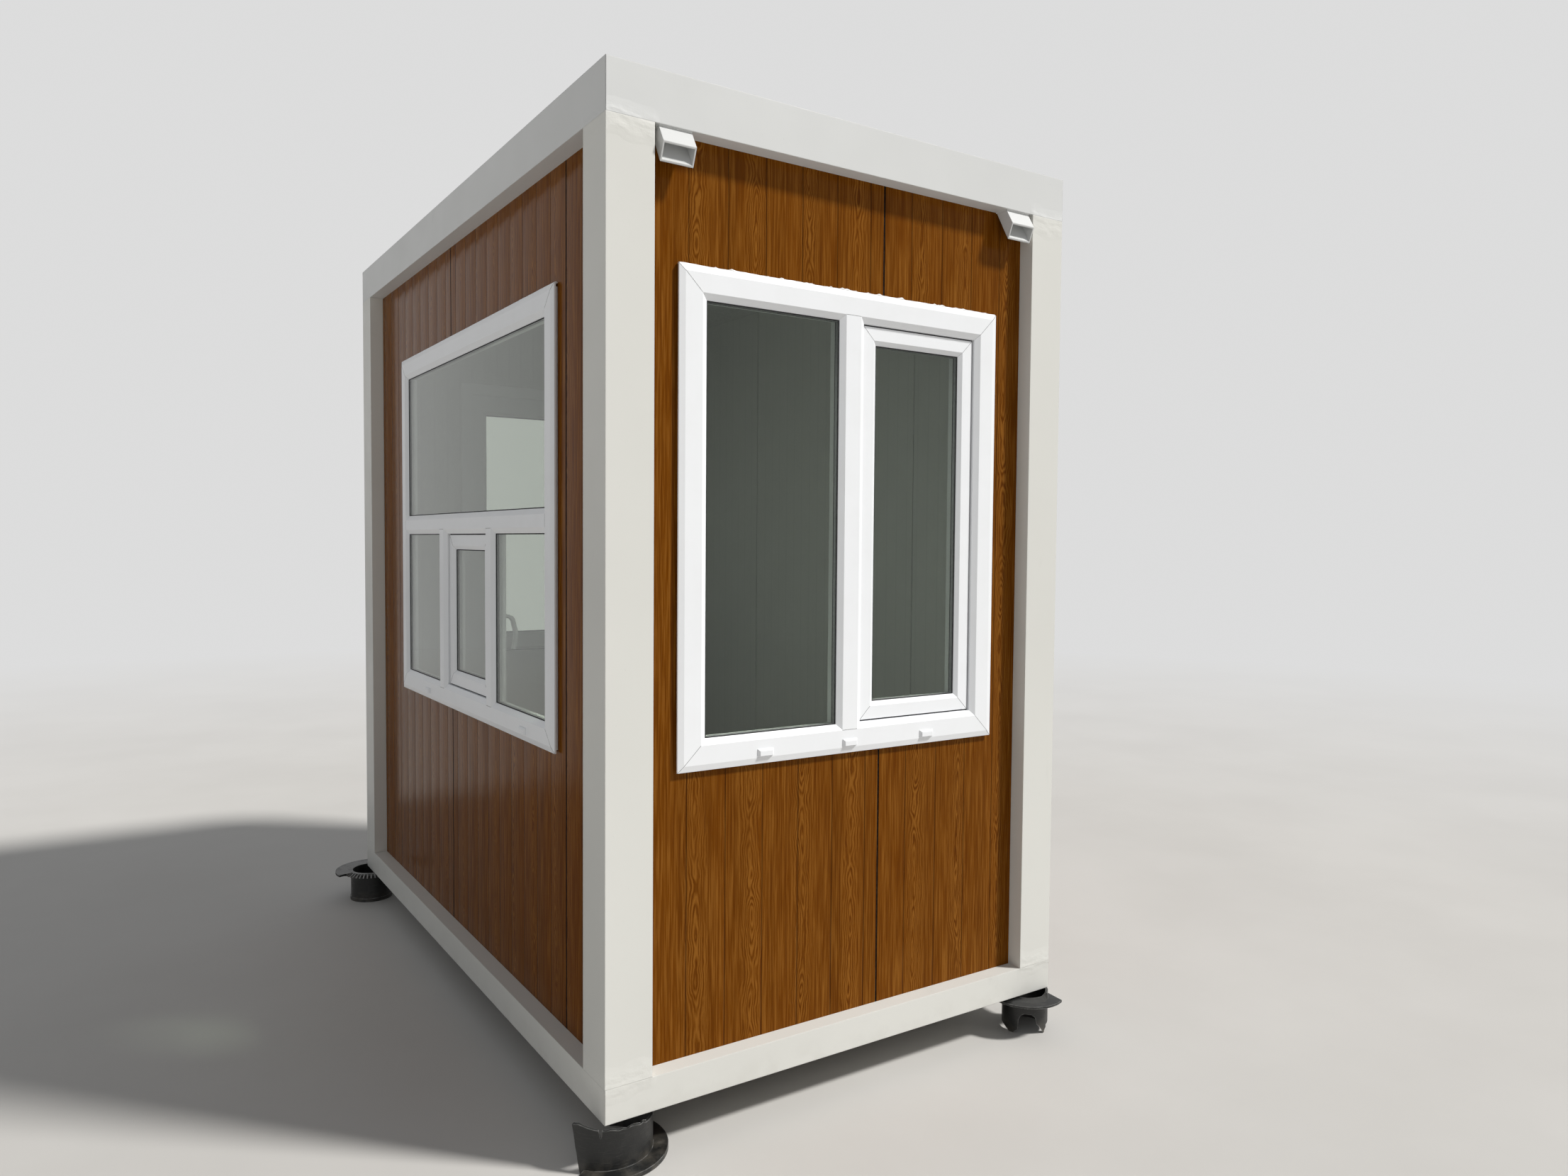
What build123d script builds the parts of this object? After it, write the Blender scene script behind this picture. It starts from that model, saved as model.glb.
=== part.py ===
from build123d import *
import math
import os

os.makedirs("parts", exist_ok=True)

# A security guard booth: a folded-steel frame filled with sandwich wall panels,
# with plastic windows in the front and left walls and a door in the back wall.
# Every length is in millimetres. X runs along the front from left to right,
# Y from the front to the back, Z up. The working corner is the front left
# corner of the steel frame, at its underside, and the finished pieces are
# moved so that the origin is under the middle of the booth, on the ground.

# Steel frame
frame_width = 1500
frame_length = 2440
frame_height = 2490
steel = 4
post_front_face = 125
post_side_face = 130
top_beam_height = 125
bottom_beam_height = 85
beam_depth = 130
beam_lip = 22
gutter_lip_height = 56

# Wall panels
panel_setback = 50
panel_thickness = 50
joint_gap = 4
joint_depth = 12
left_joint_front = 358
left_joint_back = 1370
front_joint = 852
right_joint_front = 569
right_joint_back = 1583

# Floor, ceiling and roof
deck_thickness = 18
underdeck = 4
joist_width = 40
joist_count = 4
ceiling_thickness = 15
roof_thickness = 38
roof_overhang = 24
rib_height = 25
rib_base = 70
rib_top = 30
rib_pitch = 310
rib_count = 4

# Window profile, shared by both windows
window_proud = 17
window_edge_bevel = 16
window_edge_bevel_depth = 4.5
window_lip = 5
window_lip_reach = 8
window_cover = 20
opening_bevel = 16
opening_bevel_depth = 10
frame_inner_depth = 40
glass_recess = 12
glass_unit = 22
glass_hold = 12
glass_play = 2
sash_gap = 4
sash_recess = 16
sash_face = 48
sash_bevel = 12
sash_bevel_depth = 8
sash_glass_recess = 10
sash_overlap = 10
sash_overlap_depth = 12

# Left window, along Y and Z
left_window_near = 410
left_window_far_inset = 472
left_window_bottom = 815
left_window_top = 2062
left_stile = 75
left_transom = 68
left_transom_bottom = 1405
hatch_mullion_near = 900
hatch_near_mullion = 80
hatch_mullion_far = 1398
hatch_far_mullion = 78

# Front window, along X and Z
front_window_left = 210
front_window_right_inset = 233
front_window_bottom = 811
front_window_top = 2061
front_stile = 80
front_mullion = 82

# Window handles, with the grip's path from its plate as steps inwards and up
hatch_handle_height = 1150
handle_plate_width = 26
handle_plate_height = 66
handle_plate_thickness = 10
handle_path = ((0, 0), (34, -9), (47, -61), (38, -110))
handle_bends = (20, 60)
handle_width = 20
handle_thickness = 12
handle_chamfer = 3

# Drain caps on the windows' bottom rails
drain_cap_width = 48
drain_cap_height = 18
drain_cap_thickness = 7
drain_cap_chamfer = 5
drain_cap_lift = 5
front_cap_inset = 255
left_cap_near_inset = 230
left_cap_far_inset = 358

# Door in the back wall
door_width = 710
door_head = 2058
door_proud = 17
door_flange = 20
door_face = 46
door_rebate = 22
door_gap = 6
door_latch_gap = 11
door_threshold = 30
leaf_thickness = 50
leaf_stile = 82
leaf_glass_bottom = 975
leaf_glass_top = 1930
leaf_mid_rail = 78
leaf_bottom_rail = 120
leaf_panel = 24
leaf_bevel = 12
leaf_bevel_depth = 8
hinge_radius = 9
hinge_height = 90
hinge_lows = (330, 1080, 1800)
hinge_clear = 12
hinge_pin_radius = 5
hinge_pin_short = 6
hinge_play = 0.3
hinge_strap = 42
hinge_strap_thickness = 4
hinge_strap_gap = 3
hinge_web = 6
door_handle_height = 1040
door_handle_lever = 120
door_handle_width = 20
door_handle_thickness = 14
door_handle_reach = 45
door_handle_bend = 18
door_plate_width = 30
door_plate_height = 210
door_plate_thickness = 8

# Rain spouts
spout_width = 89
spout_inset = 138
spout_wall = 4
spout_root_front = 8
spout_root_back = 48
spout_mouth_top_out = 18
spout_mouth_top_drop = 44
spout_mouth_bottom_out = 0
spout_mouth_bottom_drop = 87

# Feet, made of old flanged sockets, each placed by its distances from the nearest frame sides
foot_height = 120
foot_wall = 7
near_foot_radius = 114
near_foot_flange_radius = 152
near_foot_flange = 12
near_foot_from_left = 50
near_foot_from_front = 100
right_foot_radius = 70
right_foot_brim_radius = 118
right_foot_brim_drop = 12
right_foot_brim = 6
right_foot_from_right = 64
right_foot_from_front = 36
back_foot_radius = 80
back_foot_flange = 8
back_foot_collar = 3
back_foot_collar_height = 14
back_foot_ribs = 42
back_foot_rib = 4
back_foot_rib_drop = 12
back_foot_rib_inset = 6
back_break_slope = ((87, -1), (105, -11))
left_back_flange_radius = 140
left_back_foot_from_left = 5
left_back_foot_from_back = 45
right_back_flange_radius = 130
right_back_foot_from_right = 55
right_back_foot_from_back = 60

# Broken outlines of the feet: steps round the tube and heights under the frame, seen from outside
near_tear_facing = -114
near_tear = ((-125, -6), (-82, -6), (-66, -1), (-45, -5.5), (-32, -8), (-19, -10), (-14, -30),
             (-11, -11), (-2, -12), (8, -10), (17, -11), (28, -14), (38, -12.5), (47, -15), (58, -12),
             (69, -14), (80, -19), (86, -17), (94, -24), (125, -26))
near_gap_top = (62, 130, 199)
near_gap_bottom = (62, 137, 212)
near_flange_gap = (62, 140, 218)
right_foot_facing = -120
right_breaks = (
    ((-125, 5), (-125, -6.5), (38, -6.5), (47, -5), (54, -2), (60, 5)),
    ((-54, -125), (-45, -113), (-38, -106), (-37, -94), (-36, -74), (-30, -61), (-20, -55),
     (1, -57), (13, -66), (18, -87), (28, -97), (40, -114), (42, -125)),
    ((45, -125), (47, -114), (51, -108), (58, -104), (66, -98), (125, -95), (125, -125)),
)
right_foot_side_facing = -30
right_side_breaks = (
    ((-45, -125), (-45, -98), (-10, -94), (14, -99), (25, -106), (31, -125)),
)
right_foot_left_facing = 165
right_left_breaks = (
    ((-52, -125), (-44, -112), (-28, -105), (-5, -108), (11, -114), (20, -119), (22, -125)),
)
right_brim_gap = (-66, 0, 60)
back_break = (-164, -110, -55)

# Levels and lines worked out from the sizes above
door_left = (frame_width - door_width) / 2
door_frame_depth = door_proud + panel_thickness
door_stop_depth = door_frame_depth - leaf_thickness - door_gap
post_bottom = bottom_beam_height
post_top = frame_height - top_beam_height
wall_in = panel_setback + panel_thickness
back_wall_out = frame_length - panel_setback
deck_top = bottom_beam_height + deck_thickness
window_face = panel_setback - window_proud
window_inner = panel_setback + frame_inner_depth
left_window_far = frame_length - left_window_far_inset
front_window_right = frame_width - front_window_right_inset


def block(x0, x1, y0, y1, z0, z1):
    """A box between two corners."""
    return Box(x1 - x0, y1 - y0, z1 - z0, align=(Align.MIN,) * 3).moved(Location((x0, y0, z0)))


def prism(points, direction, length):
    """A solid whose section is a list of 3-D points, carried along a direction."""
    face = make_face(Polyline(points, close=True))
    return extrude(face, amount=length, dir=direction)


def tapered(x0, x1, z0, z1, y_given, y_grown, grow):
    """A block whose front view has the given edges at one depth and grows on every side to another."""
    sections = []
    for y, g in sorted(((y_given, 0), (y_grown, grow))):
        outline = Rectangle(x1 - x0 + 2 * g, z1 - z0 + 2 * g)
        middle = ((x0 + x1) / 2, y, (z0 + z1) / 2)
        sections.append(Plane(origin=middle, x_dir=(1, 0, 0), z_dir=(0, -1, 0)) * outline)
    return loft(sections)


def bevelled_opening(x0, x1, z0, z1, face, depth, bevel):
    """What a bevel takes away round an opening. A negative depth is for a face seen from behind."""
    return tapered(x0, x1, z0, z1, face + depth, face - depth, 2 * bevel)


def bent_bar(path, across, width, thickness, edge):
    """A bar with chamfered edges that follows a bent path."""
    start = Plane(origin=path @ 0, x_dir=across, z_dir=path % 0)
    outline = Rectangle(width, thickness)
    return sweep(start * chamfer(outline.vertices(), edge), path=path)


def from_front(piece, side):
    """Turn a piece drawn on the front face, along X, on to another side of the frame."""
    if side == "front":
        return piece
    if side == "back":
        return piece.rotate(Axis.Z, 180).moved(Location((frame_width, frame_length, 0)))
    if side == "left":
        return mirror(piece.rotate(Axis.Z, 90), Plane.YZ)
    return piece.rotate(Axis.Z, 90).moved(Location((frame_width, 0, 0)))


def side_span(side):
    """The frame's length along a side."""
    return frame_width if side in ("front", "back") else frame_length


def mitred(section, span):
    """A beam along X with the given section, cut at 45 degrees at both ends."""
    beam = prism([(0, y, z) for y, z in section], (1, 0, 0), span)
    plan = [(0, 0, 0), (span, 0, 0), (span - beam_depth, beam_depth, 0), (beam_depth, beam_depth, 0)]
    return beam & prism(plan, (0, 0, 1), frame_height)


def top_beam(span):
    """A folded gutter: a tall outer web, a floor over the wall and a low inner lip."""
    low = post_top
    high = frame_height
    section = [
        (0, low),
        (beam_depth, low),
        (beam_depth, low + gutter_lip_height),
        (beam_depth - steel, low + gutter_lip_height),
        (beam_depth - steel, low + steel),
        (steel, low + steel),
        (steel, high - steel),
        (beam_lip, high - steel),
        (beam_lip, high),
        (0, high),
    ]
    return mitred(section, span)


def bottom_beam(span):
    """A folded channel, open inwards, whose top carries the walls and the floor."""
    high = bottom_beam_height
    section = [
        (0, 0),
        (beam_depth, 0),
        (beam_depth, steel),
        (steel, steel),
        (steel, high - steel),
        (beam_depth, high - steel),
        (beam_depth, high),
        (0, high),
    ]
    return mitred(section, span)


def corner_post():
    """A folded corner section with a return on each edge that meets the wall panels."""
    a = post_front_face
    b = post_side_face
    s = panel_setback
    section = [
        (0, 0),
        (a, 0),
        (a, s),
        (a - steel, s),
        (a - steel, steel),
        (steel, steel),
        (steel, b - steel),
        (s, b - steel),
        (s, b),
        (0, b),
    ]
    return prism([(x, y, post_bottom) for x, y in section], (0, 0, 1), post_top - post_bottom)


def wall_panel(start, end, joint_at_start=True, hole=None):
    """A sandwich panel drawn on the front wall, with an open joint line at its first edge."""
    outer = panel_setback
    inner = outer + panel_thickness
    panel = block(start, end, outer, inner, post_bottom, post_top)
    if joint_at_start:
        panel -= block(start, start + joint_gap, outer, outer + joint_depth, post_bottom, post_top)
        panel -= block(start, start + joint_gap, inner - joint_depth, inner, post_bottom, post_top)
    if hole:
        x0, x1, z0, z1 = hole
        panel -= block(x0, x1, outer, inner, z0, z1)
    return panel


def window_frame(x0, x1, z0, z1, openings):
    """A plastic window frame: a bevelled face on a thin lip, its body set in behind the lip, and
    bevelled openings with a groove for each fixed pane."""
    edge = window_face + window_edge_bevel_depth
    lip_back = edge + window_lip
    w = window_edge_bevel
    frame = tapered(x0 + w, x1 - w, z0 + w, z1 - w, window_face, edge, w)
    frame += block(x0, x1, edge, lip_back, z0, z1)
    w = window_lip_reach
    frame += block(x0 + w, x1 - w, lip_back, panel_setback, z0 + w, z1 - w)
    w = window_cover
    frame += block(x0 + w, x1 - w, panel_setback, window_inner, z0 + w, z1 - w)
    for a, b, c, d, fixed in openings:
        frame -= block(a, b, window_face, window_inner, c, d)
        frame -= bevelled_opening(a, b, c, d, window_face, opening_bevel_depth, opening_bevel)
        if fixed:
            front = window_face + glass_recess
            h = glass_hold
            frame -= block(a - h, b + h, front, front + glass_unit, c - h, d + h)
    return frame


def pane(a, b, c, d):
    """The sealed glass unit of a fixed opening, seated in its groove."""
    front = window_face + glass_recess
    h = glass_hold - glass_play
    return block(a - h, b + h, front, front + glass_unit, c - h, d + h)


def sash(a, b, c, d):
    """An inward-opening sash: bevelled to its pane, with a flange on the frame's inner face."""
    g = sash_gap
    o = sash_overlap
    front = window_face + sash_recess
    ring = block(a + g, b - g, front, window_inner, c + g, d - g)
    ring += block(a - o, b + o, window_inner, window_inner + sash_overlap_depth, c - o, d + o)
    w = g + sash_face
    ring -= block(a + w, b - w, front, window_inner + sash_overlap_depth, c + w, d - w)
    ring -= bevelled_opening(a + w, b - w, c + w, d - w, front, sash_bevel_depth, sash_bevel)
    w -= glass_hold
    seat = front + sash_glass_recess
    ring -= block(a + w, b - w, seat, seat + glass_unit, c + w, d - w)
    return ring


def sash_pane(a, b, c, d):
    """The sealed glass unit of a sash."""
    w = sash_gap + sash_face - glass_hold + glass_play
    seat = window_face + sash_recess + sash_glass_recess
    return block(a + w, b - w, seat, seat + glass_unit, c + w, d - w)


def window_handle(x, z):
    """A handle inside the window: a plate and a grip that bends out of it and hangs."""
    seat = window_inner + sash_overlap_depth
    face = seat + handle_plate_thickness
    w = handle_plate_width / 2
    h = handle_plate_height / 2
    plate = block(x - w, x + w, seat, face, z - h, z + h)
    route = [(x, face + step, z + rise) for step, rise in handle_path]
    path = FilletPolyline(*route, radius=list(handle_bends))
    return plate + bent_bar(path, (1, 0, 0), handle_width, handle_thickness, handle_chamfer)


def drain_caps(centres, rail_bottom):
    """Small hoods over the drain slots, on the face of a window's bottom rail."""
    low = rail_bottom + window_edge_bevel + drain_cap_lift
    half = drain_cap_width / 2
    caps = []
    for x in centres:
        cap = block(x - half, x + half, window_face - drain_cap_thickness, window_face,
                    low, low + drain_cap_height)
        edges = cap.faces().sort_by(Axis.Y)[0].edges().sort_by(Axis.Z)
        caps.append(chamfer(edges[1:], drain_cap_chamfer))
    return caps


left_bottom = left_window_bottom + left_stile
left_top = left_window_top - left_stile
hatch_near = hatch_mullion_near + hatch_near_mullion
hatch = (hatch_near, hatch_mullion_far, left_bottom, left_transom_bottom)
left_openings = [
    (left_window_near + left_stile, left_window_far - left_stile,
     left_transom_bottom + left_transom, left_top, True),
    (left_window_near + left_stile, hatch_mullion_near, left_bottom, left_transom_bottom, True),
    (*hatch, False),
    (hatch_mullion_far + hatch_far_mullion, left_window_far - left_stile,
     left_bottom, left_transom_bottom, True),
]
front_middle = (front_window_left + front_window_right) / 2
front_bottom = front_window_bottom + front_stile
front_top = front_window_top - front_stile
fixed_light = (front_window_left + front_stile, front_middle - front_mullion / 2,
               front_bottom, front_top)
casement = (front_middle + front_mullion / 2, front_window_right - front_stile,
            front_bottom, front_top)
front_openings = [(*fixed_light, True), (*casement, False)]
left_hole = (left_window_near + window_cover, left_window_far - window_cover,
             left_window_bottom + window_cover, left_window_top - window_cover)
front_hole = (front_window_left + window_cover, front_window_right - window_cover,
              front_window_bottom + window_cover, front_window_top - window_cover)


def clipped(hole, low, high):
    """The part of a window hole that falls between two lines."""
    return (max(hole[0], low), min(hole[1], high), hole[2], hole[3])


def door_frame():
    """The door frame in the back wall, seen from inside: jambs, head, threshold and a stop lip."""
    x0 = door_left
    x1 = door_left + door_width
    z0 = post_bottom
    z1 = door_head
    y1 = back_wall_out + door_proud
    y0 = y1 - door_frame_depth
    rebate = door_face - door_rebate
    ring = block(x0, x1, y0, y1, z0, z1)
    ring += block(x0 - door_flange, x1 + door_flange, back_wall_out, y1, z0, z1 + door_flange)
    ring -= block(x0 + door_face, x1 - door_face, y0, y1, z0 + door_threshold, z1 - door_face)
    ring -= block(x0 + rebate, x1 - rebate, y0 + door_stop_depth, y1,
                  z0 + door_threshold, z1 - rebate)
    return ring


leaf_left = door_left + door_face - door_rebate + door_gap
leaf_right = door_left + door_width - (door_face - door_rebate) - door_latch_gap
leaf_bottom = post_bottom + door_threshold + door_gap
leaf_top = door_head - (door_face - door_rebate) - door_gap
leaf_outer = back_wall_out + door_proud
leaf_inner = leaf_outer - leaf_thickness


def door_leaf():
    """The leaf's welded plastic profile: stiles and rails, bevelled to a groove for the infill."""
    leaf = block(leaf_left, leaf_right, leaf_inner, leaf_outer, leaf_bottom, leaf_top)
    a = leaf_left + leaf_stile
    b = leaf_right - leaf_stile
    h = glass_hold
    middle = (leaf_inner + leaf_outer) / 2
    for c, d in door_fields():
        leaf -= block(a, b, leaf_inner, leaf_outer, c, d)
        leaf -= bevelled_opening(a, b, c, d, leaf_inner, leaf_bevel_depth, leaf_bevel)
        leaf -= bevelled_opening(a, b, c, d, leaf_outer, -leaf_bevel_depth, leaf_bevel)
        leaf -= block(a - h, b + h, middle - leaf_panel / 2, middle + leaf_panel / 2, c - h, d + h)
    return leaf


def door_fields():
    """The lower field for the panel and the upper field for the pane, as low and high edges."""
    return [
        (leaf_bottom + leaf_bottom_rail, leaf_glass_bottom - leaf_mid_rail),
        (leaf_glass_bottom, leaf_glass_top),
    ]


def door_infill(field):
    """The pane or the lower panel, seated in the leaf's groove."""
    c, d = field
    h = glass_hold - glass_play
    middle = (leaf_inner + leaf_outer) / 2
    return block(leaf_left + leaf_stile - h, leaf_right - leaf_stile + h,
                 middle - leaf_panel / 2, middle + leaf_panel / 2, c - h, d + h)


hinge_x = leaf_left - door_gap / 2
hinge_y = leaf_outer + hinge_clear


def upright(radius, height, low):
    """A round bar on the hinge line."""
    bar = Cylinder(radius, height, align=(Align.CENTER, Align.CENTER, Align.MIN))
    return bar.moved(Location((hinge_x, hinge_y, low)))


def door_hinges():
    """The hinges' fixed halves: a barrel with its pin and a strap on the frame at each hinge."""
    parts = []
    half = hinge_height / 2
    for low in hinge_lows:
        strap = block(hinge_x - hinge_strap, hinge_x, leaf_outer, leaf_outer + hinge_strap_thickness,
                      low, low + half)
        web = block(hinge_x - hinge_web, hinge_x, leaf_outer, hinge_y, low, low + half)
        pin = upright(hinge_pin_radius, hinge_height - hinge_pin_short, low)
        parts.append(upright(hinge_radius, half, low) + strap + web + pin)
    return parts


def leaf_hinges():
    """The hinges' moving halves, which ride on the leaf."""
    parts = []
    start = hinge_x + hinge_strap_gap
    for low in hinge_lows:
        base = low + hinge_height / 2 + hinge_play
        top = low + hinge_height
        strap = block(start, start + hinge_strap, leaf_outer, leaf_outer + hinge_strap_thickness,
                      base, top)
        web = block(start, start + hinge_web, leaf_outer, hinge_y, base, top)
        bore = upright(hinge_pin_radius + hinge_play, hinge_height, low)
        parts.append(upright(hinge_radius, top - base, base) + strap + web - bore)
    return parts


def door_handle():
    """A plate and a bent lever on each face of the leaf."""
    x = leaf_right - leaf_stile / 2
    z = door_handle_height
    w = door_plate_width / 2
    h = door_plate_height / 2
    parts = []
    for face, out in ((leaf_outer, 1), (leaf_inner, -1)):
        seat = face + out * door_plate_thickness
        end = seat + out * (door_handle_reach - door_handle_thickness / 2)
        plate = block(x - w, x + w, min(face, seat), max(face, seat), z - h, z + h)
        path = FilletPolyline((x, seat, z), (x, end, z), (x - door_handle_lever, end, z),
                              radius=door_handle_bend)
        parts.append(plate + bent_bar(path, (0, 0, 1), door_handle_width, door_handle_thickness,
                                      handle_chamfer))
    return parts


def spout_section(inset, reach):
    """The spout's side outline, as depths and heights, from its root under the gutter. The inset
    takes the wall off both slopes and the reach carries them past the mouth for the bore."""
    out_slope = spout_mouth_top_drop / (spout_root_front + spout_mouth_top_out)
    back_slope = spout_mouth_bottom_drop / (spout_root_back + spout_mouth_bottom_out)
    front = spout_root_front + inset * math.hypot(1, 1 / out_slope)
    back = spout_root_back - inset * math.hypot(1, 1 / back_slope)
    out_run = spout_root_front + spout_mouth_top_out + reach
    back_run = spout_root_back + spout_mouth_bottom_out + reach
    return [
        (front, post_top),
        (front - out_run, post_top - out_slope * out_run),
        (back - back_run, post_top - back_slope * back_run),
        (back, post_top),
    ]


def rain_spout(x0):
    """A square tube welded under the front gutter, sloping down and out, with an open mouth."""
    w = spout_wall
    tube = prism([(x0, y, z) for y, z in spout_section(0, 0)], (1, 0, 0), spout_width)
    inside = [(x0 + w, y, z) for y, z in spout_section(w, spout_width)]
    return tube - prism(inside, (1, 0, 0), spout_width - 2 * w)


def turned(outline):
    """A round piece from its half section, given as radii and heights."""
    half = make_face(Polyline([(r, 0, z) for r, z in outline], close=True))
    return revolve(half, Axis.Z)


def broken_out(outline, facing):
    """What is broken out of a foot, from its axis outwards: an outline seen from outside."""
    angle = math.radians(facing)
    outside = Plane(origin=(0, 0, 0), x_dir=(-math.sin(angle), math.cos(angle), 0),
                    z_dir=(math.cos(angle), math.sin(angle), 0))
    face = make_face(Polyline(outline, close=True))
    return extrude(outside * face, amount=2 * near_foot_flange_radius)


def fan(angles, reach, z):
    """A flat fan from the axis through the given directions, at a height."""
    corners = [(0, 0, z)]
    for angle in angles:
        corners.append((reach * math.cos(math.radians(angle)), reach * math.sin(math.radians(angle)), z))
    return make_face(Polyline(corners, close=True))


def beside(angles, radius):
    """A fan-shaped prism round the outside of a foot's tube."""
    sector = extrude(fan(angles, 2 * near_foot_flange_radius, -foot_height), amount=foot_height,
                     dir=(0, 0, 1))
    return sector - Cylinder(radius, 2 * foot_height)


def near_foot():
    """A socket standing on its flange, with a torn top edge and a piece broken out of its back."""
    r = near_foot_radius
    f = near_foot_flange_radius
    top = near_foot_flange - foot_height
    foot = turned([(r - foot_wall, 0), (r, 0), (r, top), (f, top), (f, -foot_height),
                   (r - foot_wall, -foot_height)])
    edge = [*near_tear, (near_tear[-1][0], foot_wall), (near_tear[0][0], foot_wall)]
    foot -= broken_out(edge, near_tear_facing)
    foot -= loft([fan(near_gap_bottom, 2 * f, -foot_height), fan(near_gap_top, 2 * f, 0)])
    return foot - beside(near_flange_gap, r)


def right_foot():
    """A socket with a drooping brim, part of the brim gone and the tube broken away to legs."""
    r = right_foot_radius
    b = right_foot_brim_radius
    d = right_foot_brim_drop
    t = right_foot_brim
    foot = turned([(r - foot_wall, 0), (r + t, 0), (b, -d), (b, -d - t), (r, -2 * t),
                   (r, -foot_height), (r - foot_wall, -foot_height)])
    for facing, outlines in ((right_foot_facing, right_breaks),
                             (right_foot_side_facing, right_side_breaks),
                             (right_foot_left_facing, right_left_breaks)):
        for outline in outlines:
            foot -= broken_out(outline, facing)
    return foot - beside(right_brim_gap, r)


def back_foot(flange_radius, broken):
    """A socket with its flange on top, gussets under the flange and a collar at the ground. Where
    it is broken, the flange is gone and the gussets are worn to a slope."""
    r = back_foot_radius
    low = back_foot_flange
    c = r + back_foot_collar
    start = back_foot_collar_height - foot_height
    foot = turned([(r - foot_wall, 0), (flange_radius, 0), (flange_radius, -low), (r, -low), (r, start),
                   (c, start), (c, -foot_height), (r - foot_wall, -foot_height)])
    rim = flange_radius - back_foot_rib_inset
    inside = r - foot_wall / 2
    side = -back_foot_rib / 2
    gusset = prism([(inside, side, 0), (rim, side, 0), (rim, side, -low),
                    (inside, side, -low - back_foot_rib_drop)], (0, 1, 0), back_foot_rib)
    gussets = [place * gusset for place in PolarLocations(0, back_foot_ribs)]
    if not broken:
        return foot + gussets
    reach = 2 * flange_radius
    sector = extrude(fan(back_break, reach, -foot_height), amount=foot_height, dir=(0, 0, 1))
    (r0, z0), (r1, z1) = back_break_slope
    foot -= sector & turned([(r0, 0), (reach, 0), (reach, -low), (r0, -low)])
    foot += gussets
    return foot - (sector & turned([(r0, 0), (reach, 0), (reach, -foot_height / 2),
                                    (r1, -foot_height / 2), (r1, z1), (r0, z0)]))


def roof_panel():
    """A ribbed roof panel that lies on the gutters' inner lips and drains into them."""
    reach = beam_depth - roof_overhang
    low = post_top + gutter_lip_height
    sheet = block(reach, frame_width - reach, reach, frame_length - reach, low, low + roof_thickness)
    middle = frame_width / 2
    for k in range(rib_count):
        x = middle + (k - (rib_count - 1) / 2) * rib_pitch
        z = low + roof_thickness
        rib = [
            (x - rib_base / 2, reach, z),
            (x + rib_base / 2, reach, z),
            (x + rib_top / 2, reach, z + rib_height),
            (x - rib_top / 2, reach, z + rib_height),
        ]
        sheet += prism(rib, (0, 1, 0), frame_length - 2 * reach)
    return sheet


def ceiling_panel():
    """The ceiling board, fastened up against the gutters' undersides."""
    return block(wall_in, frame_width - wall_in, wall_in, frame_length - wall_in,
                 post_top - ceiling_thickness, post_top)


def floor_deck():
    """The floor board, carried by the bottom beams at its edges and by the joists."""
    low = bottom_beam_height
    board = block(wall_in, frame_width - wall_in, wall_in, frame_length - wall_in, low, deck_top)
    board += block(beam_depth, frame_width - beam_depth, beam_depth, frame_length - beam_depth,
                   low - underdeck, low)
    return board


def floor_joists():
    """Cross members between the two long bottom beams."""
    low = steel
    high = bottom_beam_height - underdeck
    pitch = frame_length / (joist_count + 1)
    joists = []
    for k in range(joist_count):
        y = pitch * (k + 1)
        joists.append(block(steel, frame_width - steel, y - joist_width / 2, y + joist_width / 2,
                            low, high))
    return joists


pieces = {}

pieces["corner_post_front_left"] = corner_post()
pieces["corner_post_front_right"] = mirror(corner_post(), Plane.YZ).moved(Location((frame_width, 0, 0)))
pieces["corner_post_back_left"] = mirror(corner_post(), Plane.XZ).moved(Location((0, frame_length, 0)))
pieces["corner_post_back_right"] = corner_post().rotate(Axis.Z, 180).moved(
    Location((frame_width, frame_length, 0)))

for side in ("front", "back", "left", "right"):
    pieces["top_beam_" + side] = from_front(top_beam(side_span(side)), side)
    pieces["bottom_beam_" + side] = from_front(bottom_beam(side_span(side)), side)
spout_places = (spout_inset, frame_width - spout_inset - spout_width)
for x in spout_places:
    pieces["top_beam_front"] -= block(x + spout_wall, x + spout_width - spout_wall,
                                      spout_root_front + 2 * spout_wall,
                                      spout_root_back - 2 * spout_wall, post_top, post_top + steel)

pieces["floor_deck"] = floor_deck()
pieces["floor_joists"] = floor_joists()
pieces["ceiling_panel"] = ceiling_panel()
pieces["roof_panel"] = roof_panel()

wall_start = panel_setback
wall_end = frame_length - panel_setback
pieces["left_wall_front"] = from_front(wall_panel(wall_start, left_joint_front, False), "left")
pieces["left_wall_middle"] = from_front(
    wall_panel(left_joint_front, left_joint_back, True,
               clipped(left_hole, left_joint_front, left_joint_back)), "left")
pieces["left_wall_back"] = from_front(
    wall_panel(left_joint_back, wall_end, True,
               clipped(left_hole, left_joint_back, wall_end)), "left")
pieces["front_wall_left"] = wall_panel(wall_in, front_joint, False,
                                       clipped(front_hole, wall_in, front_joint))
pieces["front_wall_right"] = wall_panel(front_joint, frame_width - wall_in, True,
                                        clipped(front_hole, front_joint, frame_width - wall_in))
pieces["right_wall_front"] = from_front(wall_panel(wall_start, right_joint_front, False), "right")
pieces["right_wall_middle"] = from_front(wall_panel(right_joint_front, right_joint_back), "right")
pieces["right_wall_back"] = from_front(wall_panel(right_joint_back, wall_end), "right")
pieces["back_wall_left"] = block(wall_in, door_left, frame_length - wall_in, back_wall_out,
                                 post_bottom, post_top)
pieces["back_wall_right"] = block(door_left + door_width, frame_width - wall_in,
                                  frame_length - wall_in, back_wall_out, post_bottom, post_top)
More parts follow.
